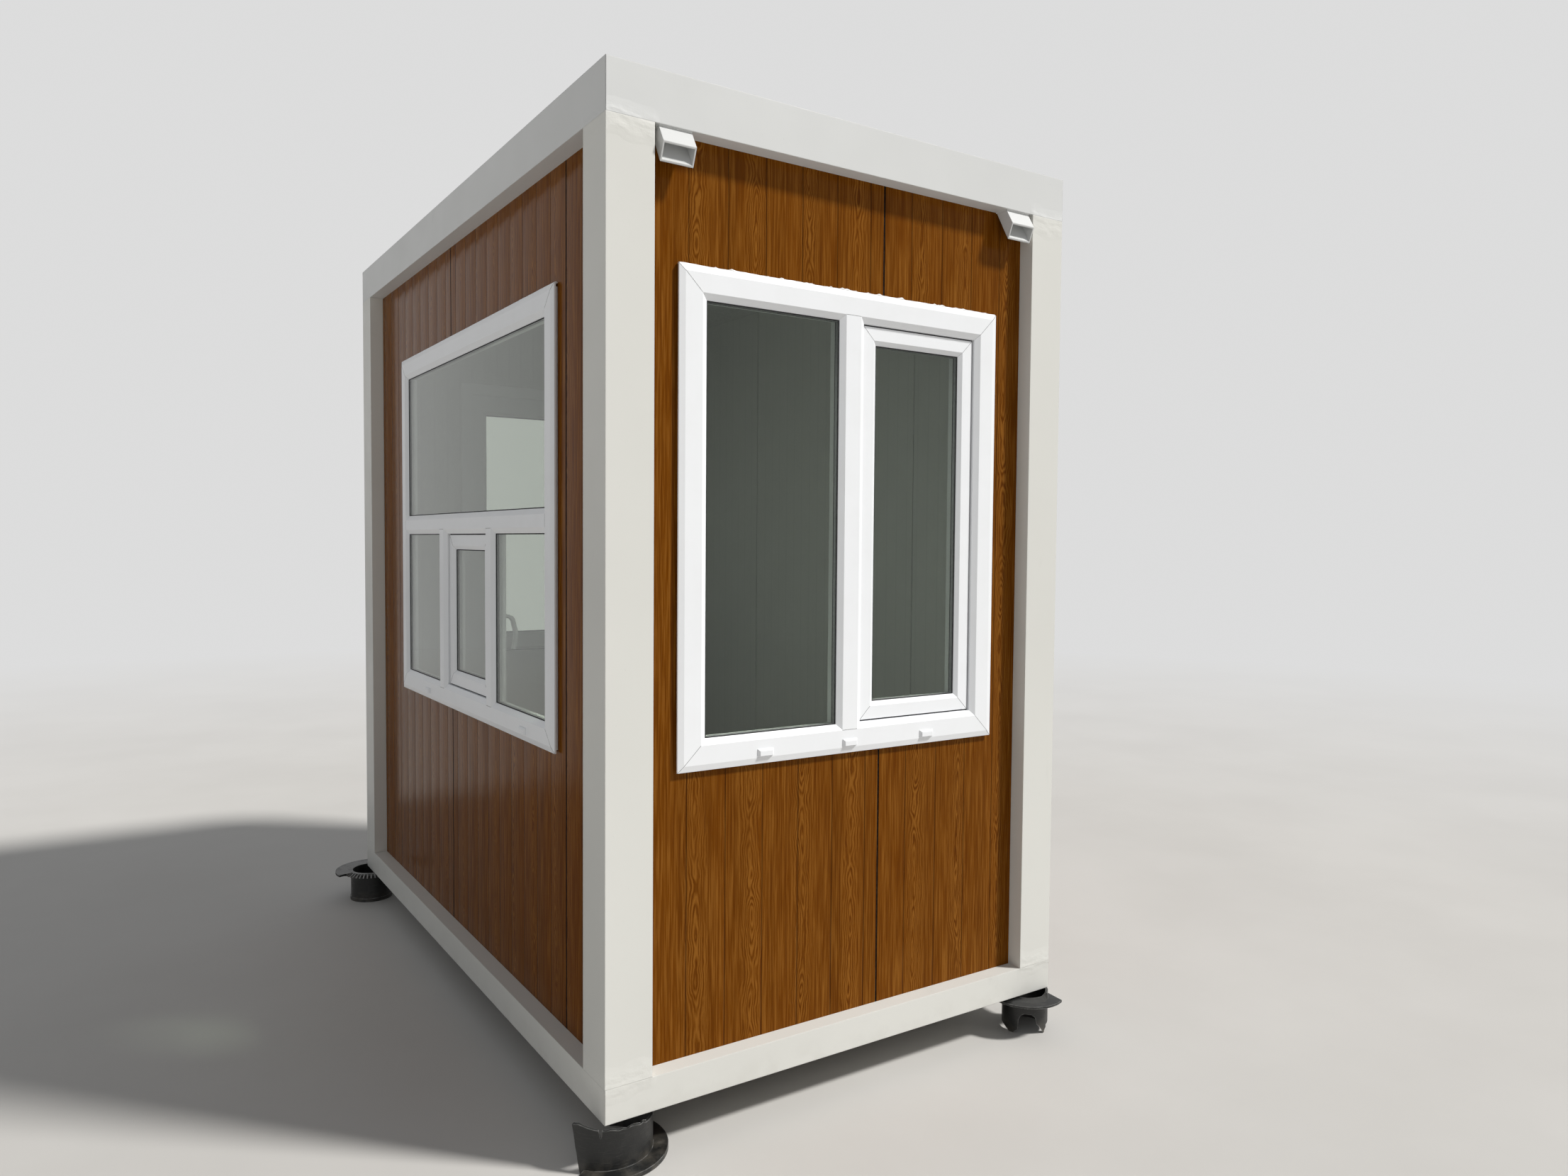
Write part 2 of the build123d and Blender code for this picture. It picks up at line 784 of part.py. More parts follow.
pieces["back_wall_over_door"] = block(door_left, door_left + door_width, frame_length - wall_in,
                                      back_wall_out, door_head, post_top)

pieces["left_window_frame"] = from_front(
    window_frame(left_window_near, left_window_far, left_window_bottom, left_window_top,
                 left_openings), "left")
pieces["hatch_sash"] = from_front(sash(*hatch), "left")
left_panes = [pane(*o[:4]) for o in left_openings if o[4]] + [sash_pane(*hatch)]
pieces["left_window_glass"] = [from_front(glass, "left") for glass in left_panes]
pieces["front_window_frame"] = window_frame(front_window_left, front_window_right,
                                            front_window_bottom, front_window_top, front_openings)
pieces["front_sash"] = sash(*casement)
pieces["front_window_glass"] = [pane(*fixed_light), sash_pane(*casement)]
handle_line = sash_gap + sash_face / 2
pieces["window_handles"] = [
    from_front(window_handle(hatch[0] + handle_line, hatch_handle_height), "left"),
    window_handle(casement[0] + handle_line, (casement[2] + casement[3]) / 2),
]
front_caps = (front_window_left + front_cap_inset, front_middle, front_window_right - front_cap_inset)
left_caps = (left_window_near + left_cap_near_inset, left_window_far - left_cap_far_inset)
caps = drain_caps(front_caps, front_window_bottom)
caps += [from_front(cap, "left") for cap in drain_caps(left_caps, left_window_bottom)]
pieces["drain_caps"] = caps

pieces["door_frame"] = door_frame()
pieces["door_leaf"] = door_leaf()
pieces["door_lower_panel"] = door_infill(door_fields()[0])
pieces["door_glass"] = door_infill(door_fields()[1])
pieces["door_hardware"] = door_handle() + leaf_hinges()
pieces["door_hinges"] = door_hinges()

pieces["rain_spouts"] = [rain_spout(x) for x in spout_places]

foot_places = {
    "foot_front_left": (near_foot_from_left, near_foot_from_front, near_foot_flange_radius),
    "foot_front_right": (frame_width - right_foot_from_right, right_foot_from_front,
                         right_foot_brim_radius),
    "foot_back_left": (left_back_foot_from_left, frame_length - left_back_foot_from_back,
                       left_back_flange_radius),
    "foot_back_right": (frame_width - right_back_foot_from_right,
                        frame_length - right_back_foot_from_back, right_back_flange_radius),
}
feet = {
    "foot_front_left": near_foot(),
    "foot_front_right": right_foot(),
    "foot_back_left": back_foot(left_back_flange_radius, True),
    "foot_back_right": back_foot(right_back_flange_radius, False),
}
for name, (x, y, radius) in foot_places.items():
    pieces[name] = feet[name].moved(Location((x, y, 0)))

# The origin is on the ground under the middle of all that the booth takes up
reach_left = min(x - radius for x, y, radius in foot_places.values())
reach_right = max(x + radius for x, y, radius in foot_places.values())
reach_front = min(y - radius for x, y, radius in foot_places.values())
reach_back = max(y + radius for x, y, radius in foot_places.values())
to_origin = Location((-(reach_left + reach_right) / 2, -(reach_front + reach_back) / 2, foot_height))

for name, piece in pieces.items():
    solids = []
    for part in (piece if isinstance(piece, list) else [piece]):
        solids += part.solids()
    shape = solids[0] if len(solids) == 1 else Compound(children=solids)
    export_step(shape.moved(to_origin), os.path.join("parts", name + ".step"))
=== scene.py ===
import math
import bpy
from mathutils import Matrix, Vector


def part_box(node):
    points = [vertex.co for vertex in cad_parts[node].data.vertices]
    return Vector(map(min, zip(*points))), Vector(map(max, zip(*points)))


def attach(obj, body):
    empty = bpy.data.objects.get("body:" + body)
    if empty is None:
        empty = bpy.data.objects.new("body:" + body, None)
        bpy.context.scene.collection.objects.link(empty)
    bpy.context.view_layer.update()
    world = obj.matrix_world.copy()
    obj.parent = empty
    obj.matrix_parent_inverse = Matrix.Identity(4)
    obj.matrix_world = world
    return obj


bl_info = {
    "name": "Guard booth finish",
    "version": (1, 0, 0),
    "blender": (4, 5, 0),
    "location": "View3D > Sidebar > Booth",
    "description": "Dresses a small steel framed guard booth with its finishes and trims",
    "category": "Object",
}

import bmesh
import bpy
import numpy as np
from mathutils import Matrix, Vector

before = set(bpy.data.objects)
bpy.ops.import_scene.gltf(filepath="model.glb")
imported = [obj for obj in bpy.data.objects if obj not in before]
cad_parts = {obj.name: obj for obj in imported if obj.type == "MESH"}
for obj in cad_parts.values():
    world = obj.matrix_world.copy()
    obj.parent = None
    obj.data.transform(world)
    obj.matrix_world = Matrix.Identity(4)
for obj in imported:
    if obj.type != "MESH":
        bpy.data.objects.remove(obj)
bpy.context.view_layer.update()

MM = 0.001
# The working corner of the drawing: the frame's lowest front left corner
CORNER = np.array(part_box("bottom_beam_front")[0])


def outline(node, side):
    """A node's edges on its wall, along it low and high, then up low and high, in millimetres from
    the working corner."""
    low, high = ((np.array(corner) - CORNER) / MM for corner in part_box(node))
    along = 0 if side in ("front", "back") else 1
    return low[along], high[along], low[2], high[2]


def inset(edges, by):
    """A rectangle made smaller by the same amount all round."""
    a, b, c, d = edges
    return a + by, b - by, c + by, d - by


# Sizes of the drawing that trims and patterns follow, in millimetres, with places counted from
# the working corner. Frame and panels; a board is the pitch of the pressed lines in most panels,
# and a painted seam shadow runs on a little under a window's frame:
FRAME_WIDTH = 1500.0
FRAME_LENGTH = 2440.0
POST_BOTTOM = 85.0
POST_TOP = 2365.0
POST_FRONT = 125.0
POST_SIDE = 130.0
PANEL_OUT = 50.0
BOARD = 106.3
FRONT_JOINT = 852.0
LEFT_JOINTS = (358.0, 1370.0)
RIGHT_JOINTS = (569.0, 1583.0)
SEAM_SHADOW_TUCK = 4.0

# Windows and their sashes, with depths counted inwards from the frame's face:
WINDOW_FACE = 33.0
WINDOW_BEVEL = 16.0
OPENING_DEPTH = 10.0
EDGE_DEPTH = 4.5
FRONT_STILE = 80.0
FRONT_MULLION = 82.0
LEFT_STILE = 75.0
LEFT_TRANSOM = (1405.0, 1473.0)
LEFT_MULLIONS = ((900.0, 980.0), (1398.0, 1476.0))
GLASS_UNIT = 22.0
GLASS_SHEET = 3.0
GLASS_HELD = 10.0
FIXED_GLASS = 45.0
SASH_GAP = 4.0
SASH_WIDTH = 48.0
SASH_FACE = 49.0
SASH_BEVEL = 12.0
SASH_BEVEL_DEPTH = 8.0
SASH_GLASS = 59.0
SEALANT_DEPTH = 44.5

# Door, with depths as for the windows:
DOOR_FACE = 33.0
DOOR_STILE = 82.0
DOOR_FRAME_FACE = 46.0
DOOR_INFILL = 46.0
DOOR_INFILL_THICKNESS = 24.0

# Spouts, roof, and the middle of the foot whose flange broke off its ribs:
SPOUT_LEFTS = (138.0, 1273.0)
SPOUT_WIDTH = 89.0
SPOUT_FRONT = 8.0
SPOUT_BACK = 48.0
ROOF_RIB_TOP = 2484.0
ROOF_RIBS = (285.0, 595.0, 905.0, 1215.0)
BROKEN_FOOT = (5.0, 2395.0)

# The film's figures: grain rings to a metre beside a figure's middle, how many rings its arches
# rise by, and how far from the middle they reach, in metres:
GRAIN_RINGS = 74.0
ARCH_RINGS = 13.0
ARCH_REACH = 0.022

# In metres: the pitch of the lining's ribs, the floor, and where it fades to the background
LINING_RIB = 0.054
FLOOR_RADIUS = 40.0
FLOOR_FADE = (3.5, 12.0)

# The shadow in a fine joint of white plastic, and the endings of like nodes' names
JOINT_GREY = (0.16, 0.16, 0.16)
CORNERS = ("front_left", "front_right", "back_left", "back_right")
SIDES = ("front", "back", "left", "right")

# Rectangles on the walls, each from the frame's nodes
FRONT_WINDOW = outline("front_window_frame", "front")
FRONT_MIDDLE = (FRONT_WINDOW[0] + FRONT_WINDOW[1]) / 2
FRONT_NEAR, FRONT_FAR, FRONT_LOW, FRONT_HIGH = inset(FRONT_WINDOW, FRONT_STILE)
FRONT_FIXED = (FRONT_NEAR, FRONT_MIDDLE - FRONT_MULLION / 2, FRONT_LOW, FRONT_HIGH)
FRONT_CASEMENT = (FRONT_MIDDLE + FRONT_MULLION / 2, FRONT_FAR, FRONT_LOW, FRONT_HIGH)
LEFT_WINDOW = outline("left_window_frame", "left")
LEFT_NEAR, LEFT_FAR, LEFT_LOW, LEFT_HIGH = inset(LEFT_WINDOW, LEFT_STILE)
LEFT_LIGHTS = (
    (LEFT_NEAR, LEFT_FAR, LEFT_TRANSOM[1], LEFT_HIGH),
    (LEFT_NEAR, LEFT_MULLIONS[0][0], LEFT_LOW, LEFT_TRANSOM[0]),
    (LEFT_MULLIONS[1][1], LEFT_FAR, LEFT_LOW, LEFT_TRANSOM[0]),
)
HATCH = (LEFT_MULLIONS[0][1], LEFT_MULLIONS[1][0], LEFT_LOW, LEFT_TRANSOM[0])
SASHES = (("front", FRONT_CASEMENT), ("left", HATCH))
DOOR_FRAME = outline("door_frame", "back")
DOOR_LEAF = outline("door_leaf", "back")
DOOR_FIELDS = tuple(
    inset(outline(node, "back"), GLASS_HELD) for node in ("door_glass", "door_lower_panel"))


# Node recipes


class Recipe:
    """One material, built node by node. Patterns follow Object coordinates, in metres."""

    def __init__(self, name, **sockets):
        self.material = bpy.data.materials.new(name)
        self.material.use_nodes = True
        self.tree = self.material.node_tree
        self.shader = self.tree.nodes["Principled BSDF"]
        self.place = self.add("ShaderNodeTexCoord").outputs["Object"]
        for key, value in sockets.items():
            socket = key.replace("_", " ").title().replace("Ior", "IOR")
            self.shader.inputs[socket].default_value = value

    def add(self, kind, inputs=None, **settings):
        """A node with its settings, and its inputs set to values or wired from other nodes."""
        node = self.tree.nodes.new(kind)
        for key, value in settings.items():
            setattr(node, key, value)
        for key, value in (inputs or {}).items():
            if isinstance(value, bpy.types.NodeSocket):
                self.tree.links.new(value, node.inputs[key])
            else:
                node.inputs[key].default_value = value
        return node

    def stretched(self, x, y, z, place=None):
        """A place, or Object coordinates, scaled along each axis."""
        place = self.place if place is None else place
        return self.add("ShaderNodeMapping", {"Vector": place, "Scale": (x, y, z)}).outputs[0]

    def point(self, x, y, z):
        """A place from three values."""
        return self.add("ShaderNodeCombineXYZ", {0: x, 1: y, 2: z}).outputs[0]

    def noise(self, scale, detail=3.0, rough=0.55, place=None):
        """Fractal noise from 0 to 1, about 0.5."""
        return self.add("ShaderNodeTexNoise", {
            "Vector": self.place if place is None else place, "Scale": scale, "Detail": detail,
            "Roughness": rough}).outputs["Fac"]

    def spread(self, value, low, high, start=0.0, end=1.0):
        """A value from low to high laid out from start to end, and clamped there."""
        return self.add("ShaderNodeMapRange", {
            "Value": value, "From Min": low, "From Max": high,
            "To Min": start, "To Max": end}).outputs[0]

    def cloud(self, scale, detail, low, high, start=0.0, end=1.0):
        """Noise of a scale and a detail, from low to high laid out from start to end."""
        return self.spread(self.noise(scale, detail), low, high, start, end)

    def calc(self, operation, a, b=0.0):
        """A one-value or two-value calculation."""
        return self.add("ShaderNodeMath", {0: a, 1: b}, operation=operation).outputs[0]

    def plus(self, a, b):
        """A sum."""
        return self.calc("ADD", a, b)

    def minus(self, a, b):
        """A difference."""
        return self.calc("SUBTRACT", a, b)

    def times(self, a, b):
        """A product."""
        return self.calc("MULTIPLY", a, b)

    def axes(self):
        """The x, y and z of Object coordinates."""
        return self.add("ShaderNodeSeparateXYZ", {0: self.place}).outputs[:3]

    def mix(self, factor, a, b):
        """Two colours mixed by a factor. They are sockets or three numbers each."""
        a, b = (c if isinstance(c, bpy.types.NodeSocket) else (*c, 1.0) for c in (a, b))
        return self.add("ShaderNodeMix", {0: factor, 6: a, 7: b}, data_type="RGBA").outputs[2]

    def blend(self, factor, a, b):
        """Two values mixed by a factor."""
        return self.add("ShaderNodeMix", {0: factor, 2: a, 3: b}, data_type="FLOAT").outputs[0]

    def drive(self, socket, value):
        """Wire a value to the shader."""
        self.tree.links.new(value, self.shader.inputs[socket])

    def dress(self, colour, roughness, normal):
        """Wire the colour, the roughness and the normal to the shader, and give the material."""
        self.drive("Base Color", colour)
        self.drive("Roughness", roughness)
        self.drive("Normal", normal)
        return self.material

    def show(self, factor, other):
        """Show another shader in place of the main one, by a factor."""
        mixed = self.add("ShaderNodeMixShader", {0: factor, 1: self.shader.outputs[0], 2: other})
        output = self.tree.nodes["Material Output"]
        self.tree.links.new(mixed.outputs[0], output.inputs["Surface"])

    def bump(self, height, depth, strength=1.0, onto=None):
        """A bump of a given depth in metres, on top of another one where given."""
        inputs = {"Height": height, "Distance": depth, "Strength": strength}
        if onto is not None:
            inputs["Normal"] = onto
        return self.add("ShaderNodeBump", inputs).outputs[0]

    def line(self, value, centre, half):
        """1 on a line where the value equals the centre, falling to 0 at half a width away."""
        away = self.calc("ABSOLUTE", self.minus(value, centre))
        return self.spread(away, half * 0.4, half, 1.0, 0.0)

    def rounded(self, radius):
        """The normal as if sharp edges had a small radius."""
        return self.add("ShaderNodeBevel", {"Radius": radius}, samples=4).outputs[0]

    def sharp_edge(self, radius):
        """1 on sharp edges, 0 on flats, by how far the rounded normal leans from the plain one."""
        plain = self.add("ShaderNodeNewGeometry").outputs["Normal"]
        normals = {0: self.rounded(radius), 1: plain}
        lean = self.add("ShaderNodeVectorMath", normals, operation="DOT_PRODUCT")
        return self.spread(lean.outputs["Value"], 0.97, 0.75)


def tint(colour, factor):
    """A colour made lighter or darker by a factor."""
    return tuple(min(1.0, channel * factor) for channel in colour)


def painted_steel(name, colour):
    """Sprayed enamel on folded sheet with small edge radii: a faint orange peel, slow changes of
    tone, a few grey smudges, and filler smoothed by hand over the welds at the posts' two ends."""
    r = Recipe(name, roughness=0.4, specular_ior_level=0.25)
    x, y, z = r.axes()
    slow = r.cloud(1.3, 3.0, 0.3, 0.7)
    specks = r.cloud(210.0, 2.0, 0.72, 0.80)
    smudge = r.spread(r.noise(1.0, 4.0, 0.6, r.stretched(11.0, 11.0, 4.0)), 0.64, 0.80)
    rubbed = r.times(r.spread(z, CORNER[2] + 0.07, CORNER[2], 0.0, 0.20),
                     r.cloud(14.0, 5.0, 0.45, 0.75))
    base = r.mix(slow, tint(colour, 0.975), tint(colour, 1.02))
    base = r.mix(r.times(specks, 0.22), base, tint(colour, 0.55))
    base = r.mix(r.times(smudge, 0.16), base, tint(colour, 0.62))
    base = r.mix(rubbed, base, (0.36, 0.33, 0.28))

    # 1 on the corner posts, falling to 0 past their inner edges
    beside = r.calc("ABSOLUTE", r.minus(x, CORNER[0] + FRAME_WIDTH / 2 * MM))
    along = r.calc("ABSOLUTE", r.minus(y, CORNER[1] + FRAME_LENGTH / 2 * MM))
    edge_x = (FRAME_WIDTH / 2 - POST_FRONT) * MM
    edge_y = (FRAME_LENGTH / 2 - POST_SIDE) * MM
    corner = r.times(r.spread(beside, edge_x - 0.013, edge_x + 0.003),
                     r.spread(along, edge_y - 0.014, edge_y + 0.002))

    # Filler over the ground welds, in a band that wanders about each end of the posts
    wander = r.cloud(9.0, 2.0, 0.3, 0.7, -0.012, 0.012)
    height = r.plus(z, wander)
    low_weld = r.line(height, CORNER[2] + (POST_BOTTOM + 10) * MM, 0.040)
    high_weld = r.line(height, CORNER[2] + (POST_TOP - 12) * MM, 0.046)
    filler = r.times(r.calc("MAXIMUM", low_weld, high_weld), corner)
    base = r.mix(r.times(filler, 0.5), base, tint(colour, 1.035))
    dull = r.plus(r.cloud(9.0, 4.0, 0.3, 0.7, 0.34, 0.46), r.times(filler, 0.08))

    # Orange peel, long waves of the sheet, the filler's lumps, and a soft ridge on each weld
    surface = r.bump(r.noise(420.0, 2.0), 0.00010, 0.3, r.rounded(0.0028))
    surface = r.bump(r.noise(5.0, 2.0), 0.0022, 0.35, surface)
    lumps = r.times(r.noise(1.0, 3.0, 0.5, r.stretched(26.0, 26.0, 40.0)), filler)
    surface = r.bump(lumps, 0.0040, 0.55, surface)
    ridges = [r.line(height, CORNER[2] + level * MM, 0.013) for level in (POST_BOTTOM, POST_TOP)]
    surface = r.bump(r.times(r.plus(*ridges), corner), 0.0006, 0.7, surface)
    return r.dress(base, dull, surface)


def wood_laminate(name, axis, sign, plane, first, pitch, figure, settings):
    """Wood grain film on thin glossy steel, outside, and plain off-white lining, inside. Along is
    x + y, which runs along a wall of either direction. Down each figure runs a chain of pointed
    arches: contours of a height that grows with the distance from the figure's middle, plus a slow
    noise of z that counts near the middle alone. Beside it the grain is straight streaks."""
    r = Recipe(name, roughness=0.16, ior=settings.film_ior)
    x, y, z = r.axes()
    along = r.minus(r.plus(x, y), CORNER[0] + CORNER[1] + plane * MM)
    flat = r.point(r.plus(along, figure * 0.11), 0.0, z)

    def streaks(a, c, detail=2.0, rough=0.5):
        return r.noise(1.0, detail, rough, r.stretched(a, 1.0, c, flat))

    # The distance from the middle of the nearest figure, whose line wanders
    wide = settings.figure_pitch * MM
    wander = r.plus(r.times(r.minus(streaks(1.5, 2.2), 0.5), 0.050),
                    r.times(r.minus(streaks(8.0, 20.0), 0.5), 0.010))
    turns = r.calc("DIVIDE", r.plus(r.minus(along, figure * MM), wander), wide)
    cell = r.calc("ROUND", turns)
    away = r.times(r.minus(turns, cell), wide)
    square = r.times(away, away)

    # The height whose contours are the arches
    near = r.calc("DIVIDE", 1.0, r.plus(r.times(square, 1.0 / ARCH_REACH ** 2), 1.0))
    own = r.plus(r.times(cell, 3.7), figure * 0.37)
    chain = r.noise(1.0, 2.0, 0.5, r.point(own, 0.0, r.times(z, 4.6)))
    height = r.times(r.calc("SQRT", r.plus(square, 0.000012)), GRAIN_RINGS)
    height = r.plus(height, r.times(r.times(r.minus(chain, 0.72), near), ARCH_RINGS))
    height = r.plus(height, r.times(streaks(55.0, 4.0), 1.5))
    height = r.plus(height, r.times(streaks(95.0, 26.0, 3.0), 0.9))
    ring = r.calc("ABSOLUTE", r.minus(r.calc("FRACT", height), 0.5))
    ring = r.plus(ring, r.times(r.minus(streaks(150.0, 9.0, 3.0), 0.5), 0.60))
    arches = r.spread(ring, 0.08, 0.46)

    # The arches' band has a ragged edge, and straight grain lies beside it
    ragged = r.plus(r.calc("ABSOLUTE", away), r.times(r.minus(streaks(40.0, 6.0), 0.5), 0.020))
    core = r.times(r.spread(ragged, 0.046, 0.014),
                   r.spread(streaks(14.0, 6.0), 0.34, 0.56, 0.45, 1.0))
    straight = r.plus(r.times(r.spread(streaks(85.0, 2.6), 0.42, 0.62), 0.34),
                      r.times(r.spread(streaks(200.0, 6.0, 3.0), 0.42, 0.62), 0.70))
    tone = r.blend(core, straight, arches)
    tone = r.times(tone, r.spread(streaks(9.0, 1.6), 0.35, 0.65, 0.85, 1.0))
    tone = r.plus(tone, r.times(core, 0.15))

    # Dark, middle and pale by the tone, then fine pale lines and dark pores
    pale = settings.wood_pale[:3]
    middle = settings.wood_middle[:3]
    dark = settings.wood_dark[:3]
    colour = r.mix(r.spread(streaks(12.0, 0.5), 0.35, 0.65), tint(middle, 0.92), tint(middle, 1.10))
    shade = r.times(r.spread(tone, 0.30, 0.0), r.spread(core, 0.0, 1.0, 0.28, 0.92))
    colour = r.mix(shade, colour, dark)
    colour = r.mix(r.times(r.spread(tone, 0.30, 1.0), settings.grain), colour, pale)
    fine = r.spread(streaks(420.0, 6.0, 3.0, 0.6), 0.42, 0.68)
    colour = r.mix(r.times(fine, 0.30), colour, tint(pale, 0.9))
    pores = r.spread(streaks(520.0, 14.0, 3.0, 0.6), 0.52, 0.72)
    colour = r.mix(r.times(pores, 0.22), colour, tint(dark, 0.7))

    # Pressed lines between the boards, from the first one on, darkened with painted shade
    from_first = r.minus(along, first * MM)
    boards = r.calc("DIVIDE", from_first, pitch * MM)
    off_line = r.times(r.minus(boards, r.calc("ROUND", boards)), pitch * MM)
    groove_and_shade = r.times(r.line(off_line, 0.0, 0.0022), r.calc("GREATER_THAN", boards, -0.5))
    # Painted shade: the grooves darkened towards black
    colour = r.mix(r.times(groove_and_shade, 0.42), colour, tint(dark, 0.3))

    # The lining: off-white sheet with shallow ribs
    ribs = r.calc("SINE", r.times(along, 2 * math.pi / LINING_RIB))
    lining = r.mix(r.cloud(2.2, 3.0, 0.3, 0.7), (0.66, 0.67, 0.64), (0.72, 0.73, 0.70))
    lining = r.mix(r.spread(ribs, 0.90, 1.0, 0.0, 0.16), lining, (0.45, 0.46, 0.44))

    # Film, painted shade on the turned-in edge, or lining, by the distance from the outer face
    depth, zero = (x, CORNER[0]) if axis == "x" else (y, CORNER[1])
    out = r.times(r.minus(depth, zero + plane * MM), sign)
    outside = r.calc("GREATER_THAN", out, -0.006)
    inside = r.minus(1.0, outside)
    colour = r.mix(outside, lining, colour)
    # Painted shade: turned-in edges in the joints and round the holes go near black
    painted_edge_shade = r.times(r.spread(out, -0.001, -0.003), r.spread(out, -0.030, -0.020))
    colour = r.mix(painted_edge_shade, colour, (0.012, 0.007, 0.005))
    dull = r.blend(outside, 0.45, r.cloud(30.0, 3.0, 0.3, 0.7, 0.12, 0.19))

    # Thin sheet is never flat: each board swells between its lines, and long waves run through it
    swell = r.calc("ABSOLUTE", r.calc("SINE", r.times(boards, math.pi)))
    surface = r.bump(r.times(swell, outside), 0.0009, 1.0)
    surface = r.bump(r.times(streaks(7.0, 11.0), outside), 0.0012, 0.6, surface)
    surface = r.bump(r.times(streaks(30.0, 1.6), outside), 0.0008, 0.5, surface)
    surface = r.bump(r.times(r.times(groove_and_shade, outside), -1.0), 0.0016, 1.0, surface)
    surface = r.bump(r.times(ribs, inside), 0.0008, 0.6, surface)
    surface = r.bump(r.times(r.times(pores, outside), -1.0), 0.00006, 0.5, surface)
    return r.dress(colour, dull, surface)


def window_plastic(name, colour):
    """Extruded white plastic: a faint draw in its surface, slow dullness and a trace of dust."""
    r = Recipe(name, roughness=0.3, specular_ior_level=0.35)
    base = r.mix(r.cloud(3.0, 3.0, 0.3, 0.7), tint(colour, 0.975), colour)
    dust = r.cloud(14.0, 4.0, 0.45, 0.85, 0.0, 0.06)
    base = r.mix(dust, base, (0.55, 0.53, 0.48))
    surface = r.bump(r.noise(260.0, 2.0), 0.00002, 0.15, r.rounded(0.0012))
    surface = r.bump(r.noise(4.0, 2.0), 0.0004, 0.3, surface)
    return r.dress(base, r.cloud(12.0, 3.0, 0.3, 0.7, 0.29, 0.34), surface)


def clear_glass(name, colour):
    """Sealed double glazing: smooth, with a slight waviness in what it mirrors and a faint film.
    Lamps shine through it."""
    r = Recipe(name, roughness=0.0, ior=1.36, transmission_weight=1.0)
    r.shader.inputs["Base Color"].default_value = (*colour, 1.0)
    r.drive("Roughness", r.cloud(7.0, 4.0, 0.45, 0.75, 0.0, 0.02))
    r.drive("Normal", r.bump(r.noise(2.6, 2.0), 0.0006, 0.4))
    clear = r.add("ShaderNodeBsdfTransparent", {"Color": (*colour, 1.0)})
    path = r.add("ShaderNodeLightPath")
    r.show(path.outputs["Is Shadow Ray"], clear.outputs[0])
    return r.material


def rubber(name, colour=(0.012, 0.012, 0.013), shine=0.5):
    """Black sealing rubber, matt, with dust in its surface."""
    r = Recipe(name, roughness=0.7, specular_ior_level=shine)
    base = r.mix(r.cloud(90.0, 4.0, 0.45, 0.75), colour, tint(colour, 3.0))
    dull = r.cloud(40.0, 3.0, 0.3, 0.7, 0.6, 0.85)
    return r.dress(base, dull, r.bump(r.noise(500.0, 2.0), 0.0001, 0.4))


def spacer_metal(name, colour=(0.42, 0.43, 0.44)):
    """The dull folded metal bar round the edge of a sealed unit, with fine draw lines along it."""
    r = Recipe(name, roughness=0.4, metallic=0.7)
    base = r.mix(r.cloud(120.0, 4.0, 0.35, 0.65), tint(colour, 0.85), tint(colour, 1.1))
    dull = r.cloud(60.0, 3.0, 0.3, 0.7, 0.32, 0.5)
    return r.dress(base, dull, r.bump(r.noise(700.0, 2.0), 0.00004, 0.5))


def sealant(name, colour=(0.86, 0.86, 0.85)):
    """White sealant, smoothed by hand, with a little dirt on it."""
    r = Recipe(name, roughness=0.42)
    base = r.mix(r.cloud(70.0, 4.0, 0.5, 0.8, 0.0, 0.2), colour, (0.45, 0.43, 0.38))
    dull = r.cloud(60.0, 3.0, 0.3, 0.7, 0.32, 0.55)
    return r.dress(base, dull, r.bump(r.noise(160.0, 3.0), 0.0004, 0.6))


def foot_plastic(name):
    """Black moulded plastic: grey scuffs and scratches round the sockets, paler sharp edges,
    a worn whitish patch on the broken ribs, and a little dust near the ground."""
    r = Recipe(name, roughness=0.55)
    x, y, z = r.axes()
    scuff = r.spread(r.noise(38.0, 6.0, 0.7), 0.52, 0.76)
    scratch = r.spread(r.noise(1.0, 4.0, 0.6, r.stretched(30.0, 30.0, 420.0)), 0.56, 0.75)
    # Paler on sharp edges, where the Bevel node's rounded normal leans from the plain one
    edge = r.times(r.sharp_edge(0.004), r.cloud(55.0, 4.0, 0.36, 0.60, 0.15, 1.0))
    dust = r.times(r.spread(z, 0.05, 0.0, 0.0, 0.5), r.cloud(22.0, 5.0, 0.42, 0.72))
    base = r.mix(r.times(scuff, 0.40), (0.0095, 0.0098, 0.0095), (0.046, 0.045, 0.040))
    base = r.mix(r.times(scratch, 0.30), base, (0.088, 0.086, 0.078))
    base = r.mix(r.times(edge, 0.9), base, (0.34, 0.34, 0.33))
    # Ribs of the back left socket, bruised where its flange broke off
    off_x = r.minus(x, CORNER[0] + BROKEN_FOOT[0] * MM)
    off_y = r.minus(y, CORNER[1] + BROKEN_FOOT[1] * MM)
    reach = r.calc("SQRT", r.plus(r.times(off_x, off_x), r.times(off_y, off_y)))
    bruise = r.times(r.spread(reach, 0.084, 0.092), r.spread(reach, 0.112, 0.106))
    bruise = r.times(bruise, r.times(r.spread(off_y, -0.015, -0.04), r.spread(z, 0.090, 0.098)))
    bruise = r.times(bruise, r.cloud(70.0, 4.0, 0.35, 0.55, 0.3, 1.0))
    base = r.mix(r.times(bruise, 0.75), base, (0.42, 0.42, 0.41))
    base = r.mix(dust, base, (0.17, 0.15, 0.12))
    surface = r.bump(scratch, 0.0004, 0.5, r.bump(r.noise(120.0, 4.0), 0.0006, 0.4))
    return r.dress(base, r.spread(scuff, 0.0, 1.0, 0.42, 0.75), surface)


